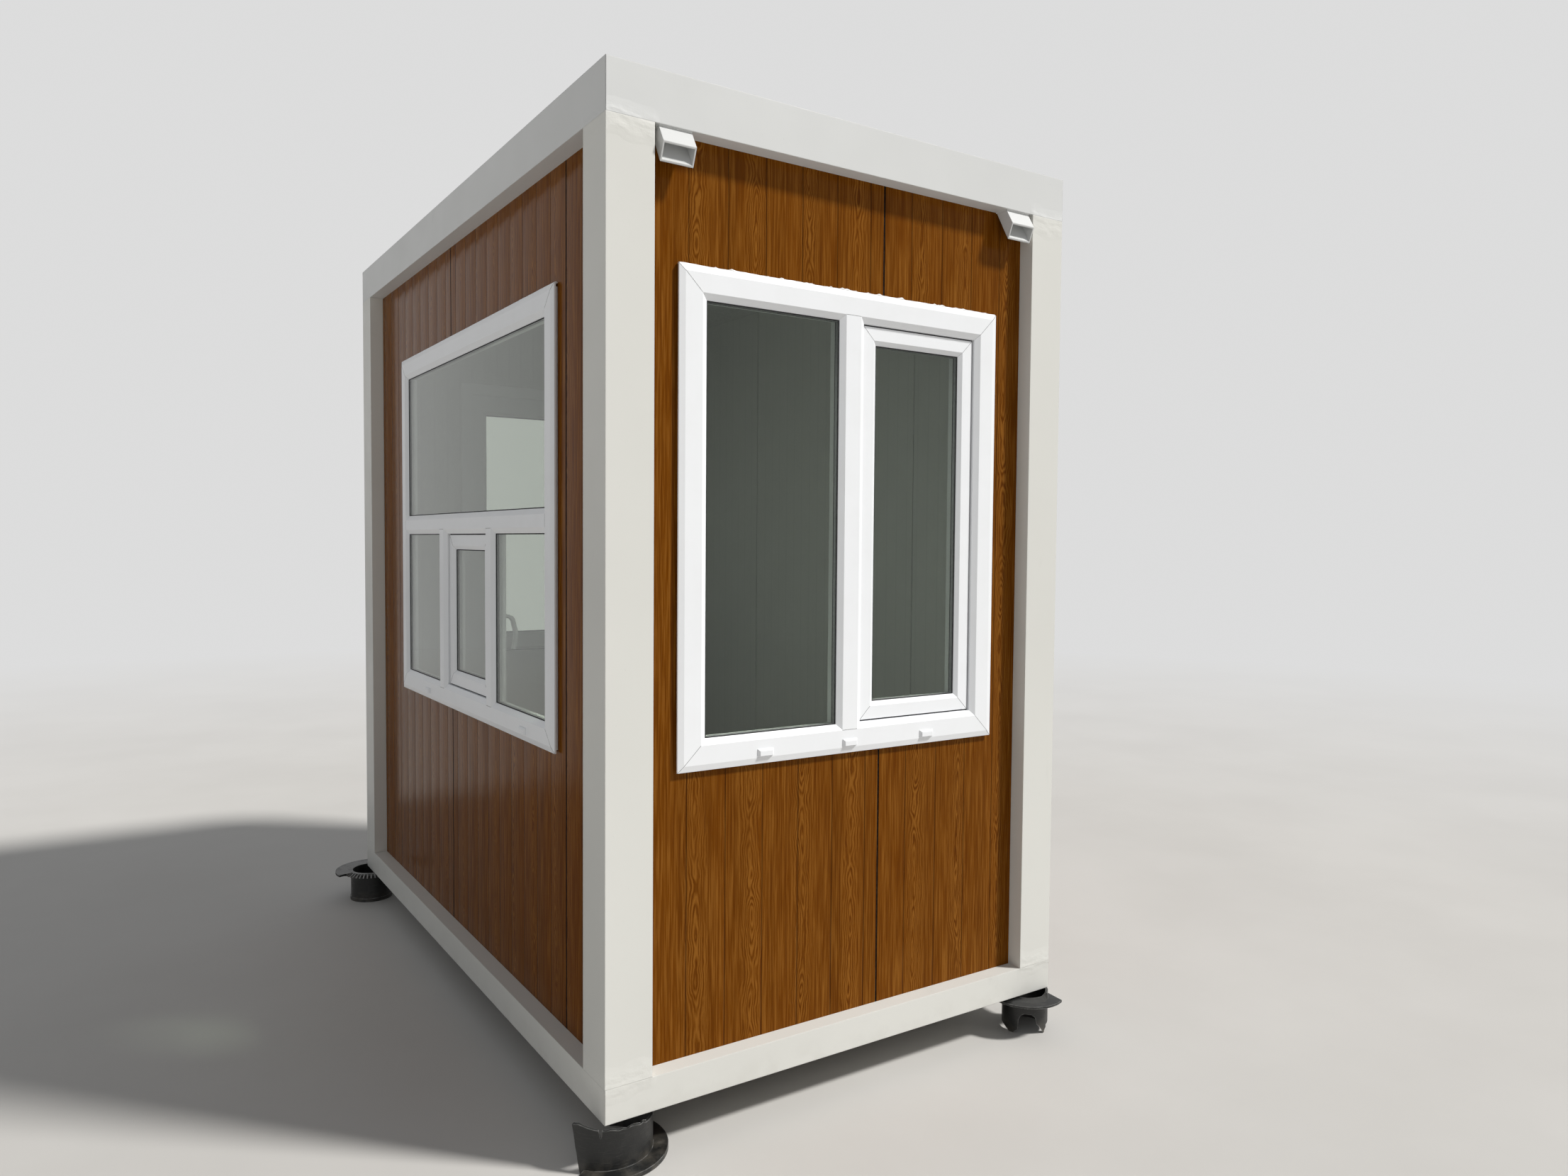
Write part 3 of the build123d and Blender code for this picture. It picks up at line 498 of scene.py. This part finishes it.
def board(name, colour, grain, depth):
    """A flat board or sheet with a fine mottled surface."""
    r = Recipe(name, roughness=0.5)
    base = r.mix(r.cloud(grain, 5.0, 0.35, 0.65), tint(colour, 0.86), tint(colour, 1.06))
    base = r.mix(r.cloud(3.0, 4.0, 0.55, 0.85, 0.0, 0.3), base, tint(colour, 0.65))
    dull = r.cloud(grain * 0.7, 3.0, 0.3, 0.7, 0.40, 0.62)
    return r.dress(base, dull, r.bump(r.noise(grain * 2.5, 3.0), depth, 0.5))


def primed_steel(name, colour=(0.24, 0.055, 0.035)):
    """Red oxide primer, matt, with grey scrapes."""
    r = Recipe(name, roughness=0.6)
    scrape = r.spread(r.noise(1.0, 5.0, 0.65, r.stretched(5.0, 40.0, 40.0)), 0.60, 0.78)
    base = r.mix(r.cloud(12.0, 4.0, 0.3, 0.7), tint(colour, 0.8), tint(colour, 1.15))
    base = r.mix(scrape, base, (0.28, 0.25, 0.23))
    dull = r.cloud(30.0, 3.0, 0.3, 0.7, 0.5, 0.72)
    return r.dress(base, dull, r.bump(r.noise(240.0, 3.0), 0.0002, 0.5))


# Surfaces


def on_wall(side, along, depth, up):
    """A place on a wall in metres: along the wall, inwards from the frame's face, and up, in mm."""
    along, depth, up = np.broadcast_arrays(
        np.asarray(along, dtype=float), np.asarray(depth, dtype=float), np.asarray(up, dtype=float))
    if side == "front":
        x, y = along, depth
    elif side == "left":
        x, y = depth, along
    elif side == "right":
        x, y = FRAME_WIDTH - depth, along
    else:
        x, y = along, FRAME_LENGTH - depth
    return np.stack([x, y, up], axis=-1) * MM + CORNER


def round_angles(count):
    """Equally spaced angles round a circle, as one row."""
    return np.linspace(0.0, 2 * math.pi, count + 1)[:-1][None, :]


def lattice(rows, columns):
    """The four corners of each face on a grid of points whose columns close into a loop."""
    i, j = np.meshgrid(np.arange(rows - 1), np.arange(columns), indexing="ij")
    j2 = (j + 1) % columns
    corners = [i * columns + j, (i + 1) * columns + j, (i + 1) * columns + j2, i * columns + j2]
    return np.stack(corners, axis=-1).reshape(-1, 4)


def closed_piece(name, grids, material, body="booth", smooth=False):
    """An object from sections carried along paths. Each grid is places along a path by points round
    its section by 3. The points close into a loop, and a path that doesn't come back to its start
    gets both ends closed to the middle of their sections. Doubled points are merged, faces point
    outwards, and the places are in the mesh."""
    points = []
    quads = []
    base = 0
    for grid in grids:
        if not np.allclose(grid[0], grid[-1]):
            ends = grid[[0, -1]].mean(axis=1, keepdims=True) + 0 * grid[[0, -1]]
            grid = np.concatenate([ends[:1], grid, ends[1:]])
        rows, columns = grid.shape[:2]
        points.append(grid.reshape(-1, 3))
        quads.append(lattice(rows, columns) + base)
        base += rows * columns
    mesh = bpy.data.meshes.new(name)
    mesh.from_pydata(np.concatenate(points).tolist(), [], np.concatenate(quads).tolist())
    form = bmesh.new()
    form.from_mesh(mesh)
    bmesh.ops.remove_doubles(form, verts=form.verts, dist=1e-6)
    bmesh.ops.recalc_face_normals(form, faces=form.faces)
    form.to_mesh(mesh)
    form.free()
    mesh.polygons.foreach_set("use_smooth", [smooth] * len(mesh.polygons))
    mesh.materials.append(material)
    piece = bpy.data.objects.new(name, mesh)
    bpy.context.collection.objects.link(piece)
    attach(piece, body)
    return piece


def rim(side, edges, profile):
    """A profile carried round a rectangle, with mitred corners: each corner of the rectangle moves
    inwards by the profile's first value, and lies at the depth that is its second."""
    a, b, c, d = edges
    reach, depth = np.array(profile).T[:, None, :]
    corner_along = np.array([a, b, b, a, a])[:, None]
    corner_up = np.array([c, c, d, d, c])[:, None]
    turn_along = np.array([1, -1, -1, 1, 1])[:, None]
    turn_up = np.array([1, 1, -1, -1, 1])[:, None]
    return on_wall(side, corner_along + turn_along * reach, depth + 0 * corner_along,
                   corner_up + turn_up * reach)


def lip(side, edges, face, out, width):
    """A rounded rubber lip round an opening, on the outer (1) or inner (-1) face of its pane."""
    profile = ((0.0, 0.0), (0.35, -1.1), (0.75, -0.9), (1.0, 0.2), (1.0, 0.6), (0.0, 0.6))
    return rim(side, edges, [(a * width, face + out * (b - 0.4)) for a, b in profile])


def hairline(side, path, across, half=0.55, lift=0.12):
    """A flat closed strip on a wall: a path of along, depth and up, with half the width to each
    side in a direction in the wall's plane, proud of the path by the lift."""
    path = np.asarray(path, dtype=float)
    sides = np.array([-1.0, 1.0, 1.0, -1.0]) * half
    depth = np.array([-lift, -lift, 0.4, 0.4])
    along, inwards, up = np.split(path, 3, axis=1)
    return on_wall(side, along + across[0] * sides, inwards + depth, up + across[1] * sides)


def mitres(side, edges, steps, corners=((0, 0), (1, 0), (0, 1), (1, 1))):
    """Hairlines at a rectangle's corners: each runs inwards along the corner's bisector through the
    steps, which are distances from the edges and depths."""
    grids = []
    for right, top in corners:
        turn = np.array([1.0 - 2 * right, 1.0 - 2 * top])
        path = [(edges[right] + turn[0] * reach, depth, edges[2 + top] + turn[1] * reach)
                for reach, depth in steps]
        grids.append(hairline(side, path, (turn[1] / math.sqrt(2), -turn[0] / math.sqrt(2))))
    return grids


def waver(t, counts, random, least, calming=0.0):
    """A sum of sines of the given counts along the length, with random phases and with random
    sizes from the least to 1, made smaller the higher the count where it is calmed."""
    return sum(random.uniform(least, 1.0) / (1 + calming * count)
               * np.sin(2 * math.pi * (count * t + random.uniform())) for count in counts)


def finish(names, material):
    """Give nodes of the frame a finish."""
    for name in names:
        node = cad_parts[name]
        node.data.materials.clear()
        node.data.materials.append(material)


# Settings


class BoothFinish(bpy.types.PropertyGroup):
    """Colours and sizes of the booth's finishes."""
    paint: bpy.props.FloatVectorProperty(
        name="Frame paint", description="Colour of the steel frame", subtype="COLOR", size=4,
        default=(0.715, 0.712, 0.672, 1.0), min=0.0, max=1.0)
    # Painted shade and sky reflection: a darker, bluer copy of the frame paint
    gutter: bpy.props.FloatVectorProperty(
        name="Gutter paint with painted shade", description="Colour of the gutter beams and the spouts",
        subtype="COLOR", size=4, default=(0.680, 0.688, 0.680, 1.0), min=0.0, max=1.0)
    wood_middle: bpy.props.FloatVectorProperty(
        name="Wood, middle", description="The film's main tone", subtype="COLOR", size=4,
        default=(0.134, 0.038, 0.001, 1.0), min=0.0, max=1.0)
    wood_pale: bpy.props.FloatVectorProperty(
        name="Wood, pale", description="The film's pale grain lines", subtype="COLOR", size=4,
        default=(0.278, 0.110, 0.016, 1.0), min=0.0, max=1.0)
    wood_dark: bpy.props.FloatVectorProperty(
        name="Wood, dark", description="The film's dark grain lines", subtype="COLOR", size=4,
        default=(0.062, 0.013, 0.001, 1.0), min=0.0, max=1.0)
    grain: bpy.props.FloatProperty(
        name="Grain", description="How strongly the pale grain shows",
        default=0.74, min=0.0, max=1.0)
    figure_pitch: bpy.props.FloatProperty(
        name="Figure pitch", description="Distance between the arched figures, in millimetres",
        default=165.0, min=40.0, max=400.0)
    film_ior: bpy.props.FloatProperty(
        name="Film gloss",
        description="Refractive index of the film's face, which sets how much it mirrors",
        default=1.12, min=1.0, max=1.6)
    plastic: bpy.props.FloatVectorProperty(
        name="Window plastic", description="Colour of the window and door profiles",
        subtype="COLOR", size=4, default=(0.90, 0.915, 0.935, 1.0), min=0.0, max=1.0)
    glass: bpy.props.FloatVectorProperty(
        name="Glass", description="Tint of the sealed glass", subtype="COLOR", size=4,
        default=(0.66, 0.70, 0.65, 1.0), min=0.0, max=1.0)
    gasket: bpy.props.FloatProperty(
        name="Gasket", description="Width of the black gasket that shows, in millimetres",
        default=3.2, min=1.0, max=8.0)


class BoothStage(bpy.types.PropertyGroup):
    """The camera and the light."""
    camera_place: bpy.props.FloatVectorProperty(
        name="Camera", description="Where the camera stands", subtype="TRANSLATION", size=3,
        default=(-1.7544, -3.5428, 1.505))
    pan: bpy.props.FloatProperty(
        name="Pan", description="Turn from the depth axis to the right", subtype="ANGLE",
        default=math.radians(33.47))
    tilt: bpy.props.FloatProperty(
        name="Tilt", description="Tilt upwards", subtype="ANGLE", default=math.radians(-2.42))
    roll: bpy.props.FloatProperty(
        name="Roll", description="Roll of the camera", subtype="ANGLE", default=math.radians(0.45))
    lens: bpy.props.FloatProperty(
        name="Lens", description="Focal length in millimetres on a 36 mm sensor", default=24.811)
    key: bpy.props.FloatProperty(
        name="Key light", description="Strength of the soft key", default=3.5, min=0.0)
    fill: bpy.props.FloatProperty(
        name="Fill light", description="Strength of the even light all round",
        default=0.30, min=0.0)
    background: bpy.props.FloatProperty(
        name="Background", description="How pale the background shows",
        default=0.72, min=0.0, max=1.0)


# Operators


class BOOTH_OT_steel_frame(bpy.types.Operator):
    """Paint the posts, the beams and the rain spouts, and weld the spouts on"""
    bl_idname = "booth.steel_frame"
    bl_label = "Steel frame"

    def execute(self, context):
        settings = context.scene.booth_finish
        paint = painted_steel("frame_enamel", settings.paint[:3])
        # The gutter paint paints shade and sky reflection onto the top beams, the spouts and their
        # welds
        gutter = painted_steel("gutter_enamel_painted_shade", settings.gutter[:3])
        finish(["corner_post_" + corner for corner in CORNERS], paint)
        finish(["bottom_beam_" + side for side in SIDES], paint)
        finish(["top_beam_" + side for side in SIDES], gutter)
        finish(["rain_spouts"], gutter)
        random = np.random.default_rng(7)
        grids = []
        for left in SPOUT_LEFTS:
            right = left + SPOUT_WIDTH
            route = np.array([(left, SPOUT_BACK), (left, SPOUT_FRONT),
                              (right, SPOUT_FRONT), (right, SPOUT_BACK)])
            grids += [self.spout_bead(*ends, random) for ends in zip(route, route[1:])]
        closed_piece("spout_welds", grids, gutter, smooth=True)
        return {"FINISHED"}

    def spout_bead(self, start, end, random):
        """A lumpy weld in the angle between a spout and the gutter: a circle whose radius wavers,
        carried along the joint."""
        length = math.dist(start, end)
        t = np.linspace(0.0, 1.0, int(length / 1.5))[:, None]
        a = round_angles(8)
        radius = np.maximum(3.0 + 0.7 * waver(t, (3, 7, 11, 17), random, 0.3), 1.2)
        way = (end - start) / length
        place = start + (end - start) * t
        normal = np.array([-way[1], way[0]])
        flat = place[:, None, :] + normal * (radius * np.cos(a))[..., None]
        return on_wall("front", flat[..., 0], flat[..., 1], POST_TOP - 0.3 + radius * np.sin(a))


class BOOTH_OT_walls(bpy.types.Operator):
    """Give every wall panel its wood grain film outside and its plain lining inside, and paint
    shadow strips down the joints between the panels"""
    bl_idname = "booth.walls"
    bl_label = "Wall panels"

    def execute(self, context):
        # Each side's outward axis and sign, and the place of its panels' outer face
        faces = {
            "front": ("y", -1.0, PANEL_OUT),
            "left": ("x", -1.0, PANEL_OUT),
            "right": ("x", 1.0, FRAME_WIDTH - PANEL_OUT),
            "back": ("y", 1.0, FRAME_LENGTH - PANEL_OUT),
        }
        # The first pressed line, the lines' pitch, and the middle of a figure
        panels = {
            "front_wall_left": (242.0, 112.6, 266.0),
            "front_wall_right": (951.0, 113.0, 987.0),
            "left_wall_front": (148.0, BOARD, 190.0),
            "left_wall_middle": (466.0, BOARD, 437.0),
            "left_wall_back": (1430.0, BOARD, 1449.0),
            "right_wall_front": (142.0, BOARD, 131.0),
            "right_wall_middle": (677.0, BOARD, 648.0),
            "right_wall_back": (1691.0, BOARD, 1662.0),
            "back_wall_left": (182.0, BOARD, 211.0),
            "back_wall_right": (1180.0, BOARD, 1196.0),
            "back_wall_over_door": (460.0, BOARD, 503.0),
        }
        for name, lines in panels.items():
            face = faces[name.split("_")[0]]
            film = wood_laminate(name + "_film", *face, *lines, context.scene.booth_finish)
            finish([name], film)
        self.seam_shadows()
        return {"FINISHED"}

    def seam_shadows(self):
        """Painted shadow at the panels' joints: flat near-black strips a few millimetres wide
        down each joint, above and below a window where there is one."""
        uncut = ((POST_BOTTOM, POST_TOP),)
        front, left = (
            ((POST_BOTTOM, window[2] + SEAM_SHADOW_TUCK), (window[3] - SEAM_SHADOW_TUCK, POST_TOP))
            for window in (FRONT_WINDOW, LEFT_WINDOW))
        # Side, place along it, the runs up it, and half the strip's width
        joints = (
            ("front", FRONT_JOINT, front, 2.4),
            ("left", LEFT_JOINTS[0], uncut, 3.4),
            ("left", LEFT_JOINTS[1], left, 3.4),
            ("right", RIGHT_JOINTS[0], uncut, 3.0),
            ("right", RIGHT_JOINTS[1], uncut, 3.0),
        )
        grids = []
        for side, along, runs, half in joints:
            for low, high in runs:
                path = [(along, PANEL_OUT, low), (along, PANEL_OUT, high)]
                grids.append(hairline(side, path, (1.0, 0.0), half))
        # Painted shadow: near-black strips standing for the shade in each joint
        film = rubber("seam_shadow_film", (0.010, 0.006, 0.004), 0.04)
        closed_piece("panel_seam_shadows", grids, film)


class BOOTH_OT_floor_and_roof(bpy.types.Operator):
    """Finish the roof panel with its screws, the ceiling, the floor deck and the joists"""
    bl_idname = "booth.floor_and_roof"
    bl_label = "Floor and roof"

    def execute(self, context):
        # Painted shade: a darker grey than the frame, so the strongly lit top doesn't go white
        roof = painted_steel("roof_enamel_painted_shade", (0.60, 0.61, 0.60))
        finish(["roof_panel"], roof)
        finish(["ceiling_panel"], board("ceiling_face", (0.70, 0.71, 0.69), 90.0, 0.0002))
        finish(["floor_deck"], board("floor_face", (0.30, 0.28, 0.25), 55.0, 0.0003))
        finish(["floor_joists"], primed_steel("joist_primer"))
        rows = np.linspace(190.0, 2250.0, 6)
        grids = [self.screw(rib, row) for rib in ROOF_RIBS for row in rows]
        closed_piece("roof_screws", grids, roof)
        return {"FINISHED"}

    def screw(self, x, y):
        """A screw on a rib: six-sided rings of washer and head, each with its radius and height."""
        rings = np.array([(8.0, -0.5), (8.0, 0.6), (6.6, 1.6), (4.4, 1.6), (4.4, 4.6), (3.6, 5.4)])
        a = round_angles(6)
        radius, rise = rings[:, :1], rings[:, 1:]
        along, inwards = x + radius * np.cos(a), y + radius * np.sin(a)
        return on_wall("front", along, inwards, ROOF_RIB_TOP + rise + 0 * a)


class BOOTH_OT_windows(bpy.types.Operator):
    """Finish the windows and add their gaskets, spacers, joint lines and sealant"""
    bl_idname = "booth.windows"
    bl_label = "Windows"

    def execute(self, context):
        settings = context.scene.booth_finish
        plastic = window_plastic("window_profile", settings.plastic[:3])
        finish(["left_window_frame", "front_window_frame", "hatch_sash", "front_sash", "drain_caps",
                "window_handles"], plastic)
        glass = clear_glass("sealed_glass", settings.glass[:3])
        finish(["left_window_glass", "front_window_glass"], glass)
        panes = [("front", FRONT_FIXED, FIXED_GLASS)]
        panes += [("left", edges, FIXED_GLASS) for edges in LEFT_LIGHTS]
        panes += [(side, inset(edges, SASH_GAP + SASH_WIDTH), SASH_GLASS) for side, edges in SASHES]
        self.gaskets(panes, settings.gasket)
        self.spacers(panes)
        self.joint_lines()
        self.sealant_bead()
        return {"FINISHED"}

    def gaskets(self, panes, width):
        """A rubber lip on both faces of each pane, and a flat seal in the gap round each sash."""
        grids = []
        for side, edges, face in panes:
            grids.append(lip(side, edges, face, 1.0, width))
            grids.append(lip(side, edges, face + GLASS_UNIT, -1.0, width))
        near, far = 0.2, SASH_GAP - 0.2
        low, high = SASH_FACE + 4.0, SASH_FACE + 9.0
        for side, edges in SASHES:
            grids.append(rim(side, edges, [(near, low), (far, low), (far, high), (near, high)]))
        closed_piece("window_gaskets", grids, rubber("gasket_rubber"))

    def spacers(self, panes):
        """The bar between the two sheets of each sealed unit: a flat box round its edge."""
        hidden, shown = -5.0, 3.0
        grids = []
        for side, edges, face in panes:
            near, far = face + GLASS_SHEET, face + GLASS_UNIT - GLASS_SHEET
            box = [(hidden, near), (shown, near), (shown, far), (hidden, far)]
            grids.append(rim(side, edges, box))
        closed_piece("window_spacers", grids, spacer_metal("spacer_bar"))

    def joint_lines(self):
        """The welded mitres of frames and sashes, and the butt joints of mullions and transom."""
        grids = []
        windows = (("front", FRONT_WINDOW, FRONT_STILE), ("left", LEFT_WINDOW, LEFT_STILE))
        for side, edges, stile in windows:
            steps = ((0.0, WINDOW_FACE + EDGE_DEPTH), (WINDOW_BEVEL, WINDOW_FACE),
                     (stile - WINDOW_BEVEL, WINDOW_FACE), (stile, WINDOW_FACE + OPENING_DEPTH))
            grids += mitres(side, edges, steps)
        for side, edges in SASHES:
            steps = ((SASH_GAP, SASH_FACE), (SASH_GAP + SASH_WIDTH - SASH_BEVEL, SASH_FACE),
                     (SASH_GAP + SASH_WIDTH, SASH_FACE + SASH_BEVEL_DEPTH))
            grids += mitres(side, edges, steps)
        b = WINDOW_BEVEL
        level = []
        for z in (FRONT_LOW - b, FRONT_HIGH + b):
            level.append(("front", FRONT_FIXED[1] + b, FRONT_CASEMENT[0] - b, z))
        for near, far in LEFT_MULLIONS:
            level += [("left", near + b, far - b, z) for z in (LEFT_LOW - b, LEFT_TRANSOM[0] + b)]
        for side, near, far, z in level:
            path = [(near, WINDOW_FACE, z), (far, WINDOW_FACE, z)]
            grids.append(hairline(side, path, (0.0, 1.0)))
        for y in (LEFT_NEAR - b, LEFT_FAR + b):
            path = [(y, WINDOW_FACE, LEFT_TRANSOM[0] + b), (y, WINDOW_FACE, LEFT_TRANSOM[1] - b)]
            grids.append(hairline("left", path, (1.0, 0.0)))
        shadow = rubber("joint_shadow", JOINT_GREY)
        closed_piece("window_joint_lines", grids, shadow)

    def sealant_bead(self):
        """The bead along the windows' top edges: a circle whose radius and height waver along it,
        with narrow bells where the sealant squeezed out."""
        random = np.random.default_rng(11)
        bells = 26
        angle = round_angles(10)
        grids = []
        for side, window, rough in (("front", FRONT_WINDOW, 1.0), ("left", LEFT_WINDOW, 0.15)):
            start, end, _, top = window
            s = np.linspace(start + 2.0, end - 2.0, 420)[:, None]
            t = (s - start) / (end - start)
            sway = waver(t, (3, 7, 13, 22, 37), random, 0.2, 0.12)
            places = random.uniform(start + 20.0, end - 20.0, bells)[None, :]
            widths = random.uniform(3.0, 9.0, bells)[None, :]
            rises = random.uniform(0.4, 3.6, bells)[None, :]
            blobs = (rises * np.exp(-((s - places) / widths) ** 2)).sum(axis=1, keepdims=True)
            size = np.maximum(2.6 + 0.7 * rough * sway + 0.5 * rough * blobs, 1.2)
            inwards = SEALANT_DEPTH + (size + 2.2) * np.cos(angle)
            up = top + 1.0 + 0.5 * rough * (sway + blobs) + size * np.sin(angle)
            grids.append(on_wall(side, s + 0 * angle, inwards, up))
        white = sealant("window_sealant")
        closed_piece("window_sealant", grids, white, smooth=True)


class BOOTH_OT_door(bpy.types.Operator):
    """Finish the door, its frame and its fittings, and add its gaskets and joint lines"""
    bl_idname = "booth.door"
    bl_label = "Door"

    def execute(self, context):
        settings = context.scene.booth_finish
        plastic = window_plastic("door_profile", settings.plastic[:3])
        finish(["door_frame", "door_leaf", "door_lower_panel", "door_hardware", "door_hinges"],
               plastic)
        finish(["door_glass"], clear_glass("door_sealed_glass", settings.glass[:3]))
        black = rubber("door_gasket_rubber")
        shadow = rubber("door_joint_shadow", JOINT_GREY)
        inner = DOOR_INFILL + DOOR_INFILL_THICKNESS
        grids = []
        for edges in DOOR_FIELDS:
            grids.append(lip("back", edges, DOOR_INFILL, 1.0, settings.gasket))
            grids.append(lip("back", edges, inner, -1.0, settings.gasket))
        closed_piece("door_gaskets", grids, black, body="door")
        steps = ((0.0, DOOR_FACE), (DOOR_STILE - SASH_BEVEL, DOOR_FACE),
                 (DOOR_STILE, DOOR_FACE + SASH_BEVEL_DEPTH))
        lines = mitres("back", DOOR_LEAF, steps)
        closed_piece("door_joint_lines", lines, shadow, body="door")
        steps = ((1.0, DOOR_FACE), (DOOR_FRAME_FACE - 1.0, DOOR_FACE))
        lines = mitres("back", DOOR_FRAME, steps, ((0, 1), (1, 1)))
        closed_piece("door_frame_joint_lines", lines, shadow)
        return {"FINISHED"}


class BOOTH_OT_feet(bpy.types.Operator):
    """Finish the broken sockets that the booth stands on"""
    bl_idname = "booth.feet"
    bl_label = "Feet"

    def execute(self, context):
        finish(["foot_" + corner for corner in CORNERS], foot_plastic("socket_plastic"))
        return {"FINISHED"}


class BOOTH_OT_stage(bpy.types.Operator):
    """Set the floor, the light and the camera"""
    bl_idname = "booth.stage"
    bl_label = "Stage"

    def execute(self, context):
        settings = context.scene.booth_stage
        self.floor(settings)
        self.light(context.scene, settings)
        self.camera(context.scene, settings)
        context.scene.view_settings.view_transform = "Standard"
        return {"FINISHED"}

    def seen_directly(self, tree):
        """1 for rays that show the background: from the camera, from gloss and through glass."""
        path = tree.nodes.new("ShaderNodeLightPath")
        factor = path.outputs["Is Camera Ray"]
        for ray in ("Is Glossy Ray", "Is Transmission Ray"):
            highest = tree.nodes.new("ShaderNodeMath")
            highest.operation = "MAXIMUM"
            tree.links.new(factor, highest.inputs[0])
            tree.links.new(path.outputs[ray], highest.inputs[1])
            factor = highest.outputs[0]
        return factor

    def floor(self, settings):
        """A round pale floor: rings of points whose radius grows with the square of the ring."""
        ring = (np.linspace(0.0, 1.0, 24) ** 2 * FLOOR_RADIUS)[:, None]
        angle = round_angles(64)
        points = np.stack([ring * np.cos(angle), ring * np.sin(angle), 0 * ring * angle], axis=-1)
        mesh = bpy.data.meshes.new("floor")
        quads = lattice(*points.shape[:2])
        mesh.from_pydata(points.reshape(-1, 3).tolist(), [], quads.tolist())
        mesh.update()
        r = Recipe("pale_floor", roughness=0.75)
        clouds = r.cloud(0.8, 5.0, 0.35, 0.65)
        r.drive("Base Color", r.mix(clouds, (0.56, 0.545, 0.52), (0.60, 0.585, 0.56)))
        away = r.add("ShaderNodeVectorMath", {0: r.place}, operation="LENGTH").outputs["Value"]
        tone = settings.background
        glow = r.add("ShaderNodeEmission", {"Color": (tone, tone, tone, 1.0), "Strength": 1.0})
        seen = r.times(r.spread(away, *FLOOR_FADE), self.seen_directly(r.tree))
        r.show(seen, glow.outputs[0])
        mesh.materials.append(r.material)
        floor = bpy.data.objects.new("floor", mesh)
        bpy.context.collection.objects.link(floor)

    def light(self, scene, settings):
        """A soft key from the right, in front and above, and an even pale surround."""
        lamp = bpy.data.lights.new("key", "SUN")
        lamp.energy = settings.key
        lamp.angle = math.radians(7.0)
        lamp.color = (1.0, 0.985, 0.96)
        key = bpy.data.objects.new("key", lamp)
        towards_key = Vector((0.50, -0.47, 0.73))
        key.matrix_world = towards_key.to_track_quat("Z", "Y").to_matrix().to_4x4()
        scene.collection.objects.link(key)
        world = bpy.data.worlds.new("surround")
        world.use_nodes = True
        tree = world.node_tree
        back = tree.nodes["Background"]
        back.inputs["Color"].default_value = (0.93, 0.96, 1.0, 1.0)
        back.inputs["Strength"].default_value = settings.fill
        seen = tree.nodes.new("ShaderNodeBackground")
        tone = settings.background
        seen.inputs["Color"].default_value = (tone, tone, tone, 1.0)
        mixed = tree.nodes.new("ShaderNodeMixShader")
        tree.links.new(self.seen_directly(tree), mixed.inputs[0])
        tree.links.new(back.outputs[0], mixed.inputs[1])
        tree.links.new(seen.outputs[0], mixed.inputs[2])
        tree.links.new(mixed.outputs[0], tree.nodes["World Output"].inputs["Surface"])
        scene.world = world

    def camera(self, scene, settings):
        """The photograph's camera: forward by pan and tilt, then rolled about that line."""
        pan, tilt, roll = settings.pan, settings.tilt, settings.roll
        ahead = Vector((
            math.sin(pan) * math.cos(tilt), math.cos(pan) * math.cos(tilt), math.sin(tilt)))
        level = Vector((math.cos(pan), -math.sin(pan), 0.0))
        upright = level.cross(ahead)
        right = math.cos(roll) * level + math.sin(roll) * upright
        up = math.cos(roll) * upright - math.sin(roll) * level
        lens = bpy.data.cameras.new("camera")
        lens.sensor_fit = "HORIZONTAL"
        lens.sensor_width = 36.0
        lens.lens = settings.lens
        camera = bpy.data.objects.new("camera", lens)
        turn = Matrix((right, up, -ahead)).transposed().to_4x4()
        camera.matrix_world = Matrix.Translation(settings.camera_place) @ turn
        scene.collection.objects.link(camera)
        scene.camera = camera


class BOOTH_PT_panel(bpy.types.Panel):
    """The booth's pieces and settings"""
    bl_idname = "BOOTH_PT_panel"
    bl_label = "Guard booth"
    bl_space_type = "VIEW_3D"
    bl_region_type = "UI"
    bl_category = "Booth"

    def draw(self, context):
        for group in (context.scene.booth_finish, context.scene.booth_stage):
            for name in group.__annotations__:
                self.layout.prop(group, name)
        for operator in OPERATORS:
            self.layout.operator(operator.bl_idname)


OPERATORS = (
    BOOTH_OT_steel_frame,
    BOOTH_OT_walls,
    BOOTH_OT_floor_and_roof,
    BOOTH_OT_windows,
    BOOTH_OT_door,
    BOOTH_OT_feet,
    BOOTH_OT_stage,
)
CLASSES = (BoothFinish, BoothStage, *OPERATORS, BOOTH_PT_panel)


def register():
    for item in CLASSES:
        bpy.utils.register_class(item)
    bpy.types.Scene.booth_finish = bpy.props.PointerProperty(type=BoothFinish)
    bpy.types.Scene.booth_stage = bpy.props.PointerProperty(type=BoothStage)


def unregister():
    del bpy.types.Scene.booth_stage
    del bpy.types.Scene.booth_finish
    for item in reversed(CLASSES):
        bpy.utils.unregister_class(item)


def main():
    """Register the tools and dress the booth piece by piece."""
    register()
    bpy.ops.booth.steel_frame()
    bpy.ops.booth.walls()
    bpy.ops.booth.floor_and_roof()
    bpy.ops.booth.windows()
    bpy.ops.booth.door()
    bpy.ops.booth.feet()
    bpy.ops.booth.stage()


if __name__ == "__main__":
    main()
